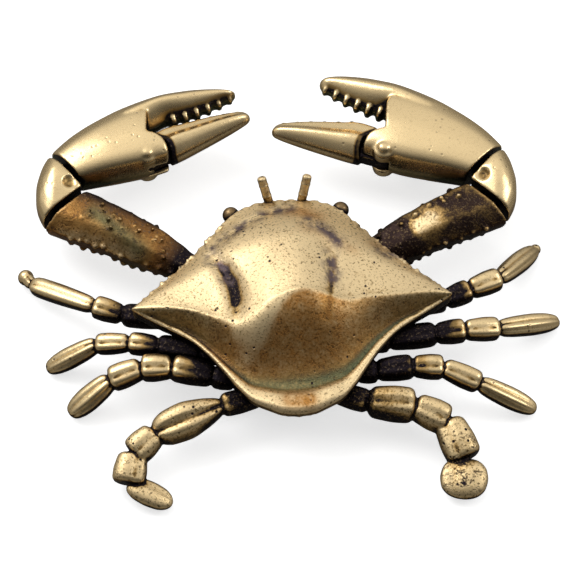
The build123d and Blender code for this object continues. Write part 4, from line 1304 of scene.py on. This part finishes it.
def shader_tools(nodes, link, coordinate):
    """Functions that each add a node and give back its output."""
    def attribute(title):
        made = nodes.new("ShaderNodeAttribute")
        made.attribute_name = title
        return made.outputs["Fac"]

    def noise(scale, detail, roughness=0.55):
        made = nodes.new("ShaderNodeTexNoise")
        made.inputs["Scale"].default_value = scale
        made.inputs["Detail"].default_value = detail
        made.inputs["Roughness"].default_value = roughness
        link(coordinate, made.inputs["Vector"])
        return made.outputs["Fac"]

    def maths(operation, a, b):
        made = nodes.new("ShaderNodeMath")
        made.operation = operation
        for number, value in enumerate((a, b)):
            if isinstance(value, (int, float)):
                made.inputs[number].default_value = value
            else:
                link(value, made.inputs[number])
        return made.outputs[0]

    def ramp(value, *stops):
        made = nodes.new("ShaderNodeValToRGB")
        first, last = made.color_ramp.elements
        first.position, last.position = stops[0][0], stops[-1][0]
        first.color, last.color = (*stops[0][1], 1), (*stops[-1][1], 1)
        for place, colour in stops[1:-1]:
            made.color_ramp.elements.new(place).color = (*colour, 1)
        link(value, made.inputs[0])
        return made.outputs["Color"]

    def blend(amount, under, over):
        made = nodes.new("ShaderNodeMix")
        made.data_type = "RGBA"
        link(amount, made.inputs["Factor"])
        link(under, made.inputs["A"])
        made.inputs["B"].default_value = (*over, 1)
        return made.outputs["Result"]

    def ranged(value, start, end, low=0.0, high=1.0):
        made = map_range(nodes, start, end, low, high)
        link(value, made.inputs["Value"])
        return made.outputs["Result"]

    def varied(value, amount, share):
        """The value plus a noise that goes both ways."""
        return maths("ADD", value, maths("MULTIPLY", maths("SUBTRACT", amount, 0.5), share))

    return attribute, noise, maths, ramp, blend, ranged, varied


# %% Brass
# orange and green: rust and verdigris, and also painted reflection and shade on the shell's rear slope and
# valley and the claws' low sides; violet smoke; a painted highlight colour for sparkles
stain_and_reflection_orange, stain_and_reflection_green, smoke_violet, painted_sparkle_colour = ((0.50, 0.235, 0.06), (0.15, 0.165, 0.085),
                                                     (0.155, 0.115, 0.125), (0.30, 0.25, 0.22))
bright, honey, black = (0.93, 0.71, 0.39), (0.56, 0.36, 0.14), (0.018, 0.014, 0.018)


def brass(name, rubbed=bright, honey=honey, darker=0.0, pits=1.0, rough=0.30, specks=1.0):
    """Brass that reads the attributes; scales of noise are in cells per metre."""
    material = bpy.data.materials.new(name)
    material.use_nodes = True
    nodes, link = material.node_tree.nodes, material.node_tree.links.new
    shader, coordinate = nodes["Principled BSDF"], nodes.new("ShaderNodeTexCoord").outputs["Object"]
    attribute, noise, maths, ramp, blend, ranged, varied = shader_tools(nodes, link, coordinate)
    cloud, patch, speckle, grain = noise(260, 3), noise(900, 3), noise(3800, 3, 0.65), noise(7000, 2)

    depth = varied(varied(maths("ADD", attribute("dark"), darker), cloud, 0.42), patch, 0.30)
    depth = varied(depth, speckle, 0.55 * specks)
    depth = maths("SUBTRACT", depth, maths("MULTIPLY", attribute("worn"), 0.55))
    halfway, brown = tuple((a + b) / 2 for a, b in zip(rubbed, honey)), tuple(0.42 * c for c in honey)
    colour = ramp(depth, (0.02, rubbed), (0.20, halfway), (0.34, honey), (0.50, brown), (0.64, black))

    # orange: rust stains, and painted reflection and shade on the shell's rear slope
    orange_stain_and_reflection = maths("MULTIPLY", attribute("orange"), varied(varied(0.82, patch, 1.2), speckle, 1.3))
    colour = blend(orange_stain_and_reflection, colour, stain_and_reflection_orange)
    # green: verdigris, and painted reflection in the shell's valley and on the claws' low sides
    green_stain_and_reflection = maths("MULTIPLY", attribute("green"), varied(0.78, speckle, 1.2))
    colour = blend(green_stain_and_reflection, colour, stain_and_reflection_green)
    smoke = maths("MULTIPLY", attribute("violet"), ranged(patch, 0.38, 0.56))
    colour = blend(smoke, colour, smoke_violet)
    spots = maths("MULTIPLY", ranged(speckle, 0.55, 0.67), 0.85 * specks)
    colour = blend(spots, colour, tuple(0.35 * c for c in honey))

    pit_cells = nodes.new("ShaderNodeTexVoronoi")
    pit_cells.inputs["Scale"].default_value = 1150
    link(coordinate, pit_cells.inputs["Vector"])
    pit = maths("MULTIPLY", ranged(pit_cells.outputs["Distance"], 0.22, 0.10), ranged(cloud, 0.51, 0.58))
    pit = maths("MULTIPLY", pit, pits)
    crust = maths("MULTIPLY", ranged(patch, 0.50, 0.60), ranged(speckle, 0.44, 0.56))
    pit = maths("MAXIMUM", pit, maths("MULTIPLY", crust, attribute("pitted")))
    colour = blend(pit, colour, tuple(1.5 * c for c in black))
    # painted highlight: brass-coloured sparkles on the black
    painted_sparkle = maths("MULTIPLY", ranged(speckle, 0.58, 0.70), ranged(depth, 0.60, 0.85, 0.0, 0.26))
    colour = blend(painted_sparkle, colour, painted_sparkle_colour)
    link(colour, shader.inputs["Base Color"])
    link(varied(ranged(depth, 0.1, 0.6, rough, 0.42), grain, 0.16), shader.inputs["Roughness"])
    shader.inputs["Metallic"].default_value = 1.0

    heights = maths("ADD", maths("MULTIPLY", speckle, 0.8 * specks), maths("MULTIPLY", grain, 0.35 * specks))
    heights = maths("ADD", heights, maths("MULTIPLY", speckle, ranged(depth, 0.5, 0.8, 0.0, 2.5)))
    heights = maths("SUBTRACT", heights, maths("MULTIPLY", pit, 1.6))
    bump = nodes.new("ShaderNodeBump")
    bump.inputs["Strength"].default_value = 0.6
    bump.inputs["Distance"].default_value = 0.00006
    link(heights, bump.inputs["Height"])
    link(bump.outputs["Normal"], shader.inputs["Normal"])
    return material


finishes = {"cast": brass("antiqued brass of the legs", specks=0.45),
            "shell": brass("granular brass of the shell", rubbed=(0.94, 0.73, 0.42), rough=0.44),
            "paddle": brass("pitted brass of the paddles", pits=1.6, rough=0.42, specks=1.3),
            "polished": brass("rubbed brass of the claws", darker=-0.08, pits=0.35, rough=0.26, specks=0.22),
            "eye": brass("blackened brass of the eyes", honey=(0.30, 0.20, 0.10), darker=0.45, specks=0.3),
            "pin": brass("brass of the pins", darker=0.30, pits=0.0, specks=0.2)}
endings = {"pin": ("_pin",), "eye": ("_eye",), "shell": ("carapace", "_upper_arm", "_antenna"),
           "paddle": ("_paddle_leg",), "polished": ("_hand", "_finger", "_wrist")}


def finish_of(name):
    """The finish by the last word of a piece's name."""
    for title, words in endings.items():
        if name.endswith(words):
            return finishes[title]
    return finishes["cast"]


print("finishes:", sorted(finishes))

# %% Every piece takes its finish and its place
for name, (made, body, nodes) in castings.items():
    made.data.transform(Matrix.Scale(MM, 4))
    made.data.materials.clear()
    made.data.materials.append(finish_of(name))
    for polygon in made.data.polygons:
        polygon.use_smooth = True
        polygon.material_index = 0
    made.name = name + "_cast"
    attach(made, body)
    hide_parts(*nodes)
print("pieces:", len(castings), "faces:", sum(len(c[0].data.polygons) for c in castings.values()))

# %% [markdown]
# ## Table, light and camera
# The photograph has a white ground and a broad soft light. A metal shows what it reflects, so the sky
# here isn't even: it is bright overhead and ahead and dimmer behind the camera, which gives the slopes
# that face the viewer their darker tone.

# %% Table
floor_mesh = bpy.data.meshes.new("table")
half_table, below_feet, paper_glow = 1.5, 0.00005, 0.66
corners = [(x * half_table, y * half_table, 0) for x, y in ((-1, -1), (1, -1), (1, 1), (-1, 1))]
floor_mesh.from_pydata(corners, [], [(0, 1, 2, 3)])
floor = bpy.data.objects.new("table", floor_mesh)
bpy.context.scene.collection.objects.link(floor)
floor.location.z = -below_feet
paper = bpy.data.materials.new("white paper")
paper.use_nodes = True
white, link = paper.node_tree.nodes["Principled BSDF"], paper.node_tree.links.new
white.inputs["Roughness"].default_value = 0.9
seen = paper.node_tree.nodes.new("ShaderNodeLightPath")
glow = paper.node_tree.nodes.new("ShaderNodeMath")
glow.operation = "MULTIPLY"
glow.inputs[1].default_value = paper_glow
link(seen.outputs["Is Camera Ray"], glow.inputs[0])
white.inputs["Emission Color"].default_value = (1, 1, 1, 1)
link(glow.outputs[0], white.inputs["Emission Strength"])
mirrored = paper.node_tree.nodes.new("ShaderNodeMix")
mirrored.data_type = "RGBA"
mirrored.inputs["A"].default_value = (0.93, 0.93, 0.93, 1)
mirrored.inputs["B"].default_value = (0.25, 0.24, 0.22, 1)
link(seen.outputs["Is Glossy Ray"], mirrored.inputs["Factor"])
link(mirrored.outputs["Result"], white.inputs["Base Color"])
floor_mesh.materials.append(paper)

# %% Sky
world = bpy.data.worlds.new("studio")
bpy.context.scene.world = world
world.use_nodes = True
sky, link = world.node_tree.nodes, world.node_tree.links.new
background = sky["Background"]
direction = sky.new("ShaderNodeTexCoord")
parts = sky.new("ShaderNodeSeparateXYZ")
link(direction.outputs["Generated"], parts.inputs[0])
ahead = map_range(sky, -0.9, 0.5, 0.08, 0.92)
ahead.interpolation_type = "SMOOTHSTEP"
link(parts.outputs["Y"], ahead.inputs["Value"])
above = map_range(sky, 0.0, 0.9, 0.45, 1.0)
link(parts.outputs["Z"], above.inputs["Value"])
together = sky.new("ShaderNodeMath")
together.operation = "MULTIPLY"
link(ahead.outputs["Result"], together.inputs[0])
link(above.outputs["Result"], together.inputs[1])
link(together.outputs[0], background.inputs["Strength"])
background.inputs["Color"].default_value = (1.0, 0.99, 0.97, 1)


# %% Lamps
def lamp(name, place, aim, size, watts):
    light = bpy.data.lights.new(name, "AREA")
    light.shape, light.size, light.energy = "DISK", size, watts
    made = bpy.data.objects.new(name, light)
    bpy.context.scene.collection.objects.link(made)
    made.location = place
    made.rotation_euler = (Vector(aim) - Vector(place)).to_track_quat("-Z", "Y").to_euler()
    return made


lamp("softbox ahead", (-0.30, 0.25, 0.45), (0, 0, 0), 0.40, 1.1)
lamp("softbox right", (0.45, 0.05, 0.35), (0, 0, 0), 0.25, 0.4)

# %% Camera
elevation, azimuth, distance, frame_width = math.radians(58), math.radians(3.3), 0.6, 0.0637
photo_scale = 4.52
aside, above_middle = -2.0 / photo_scale * MM, 25.5 / photo_scale * MM
away = Vector((-math.sin(azimuth) * math.cos(elevation), -math.cos(azimuth) * math.cos(elevation),
               math.sin(elevation)))
view = bpy.data.cameras.new("camera")
view.sensor_width = 36
view.lens = 36 * distance / frame_width
view.clip_start, view.clip_end = 0.01, 10
camera = bpy.data.objects.new("camera", view)
bpy.context.scene.collection.objects.link(camera)
right = Vector((math.cos(azimuth), -math.sin(azimuth), 0))
up = right.cross(-away)
aim = right * aside + up * above_middle
camera.location = aim + away * distance
camera.rotation_euler = Matrix((right, up, away)).transposed().to_euler()
bpy.context.scene.camera = camera
bpy.context.scene.view_settings.view_transform = "Standard"
print("camera at", [round(v, 3) for v in camera.location])
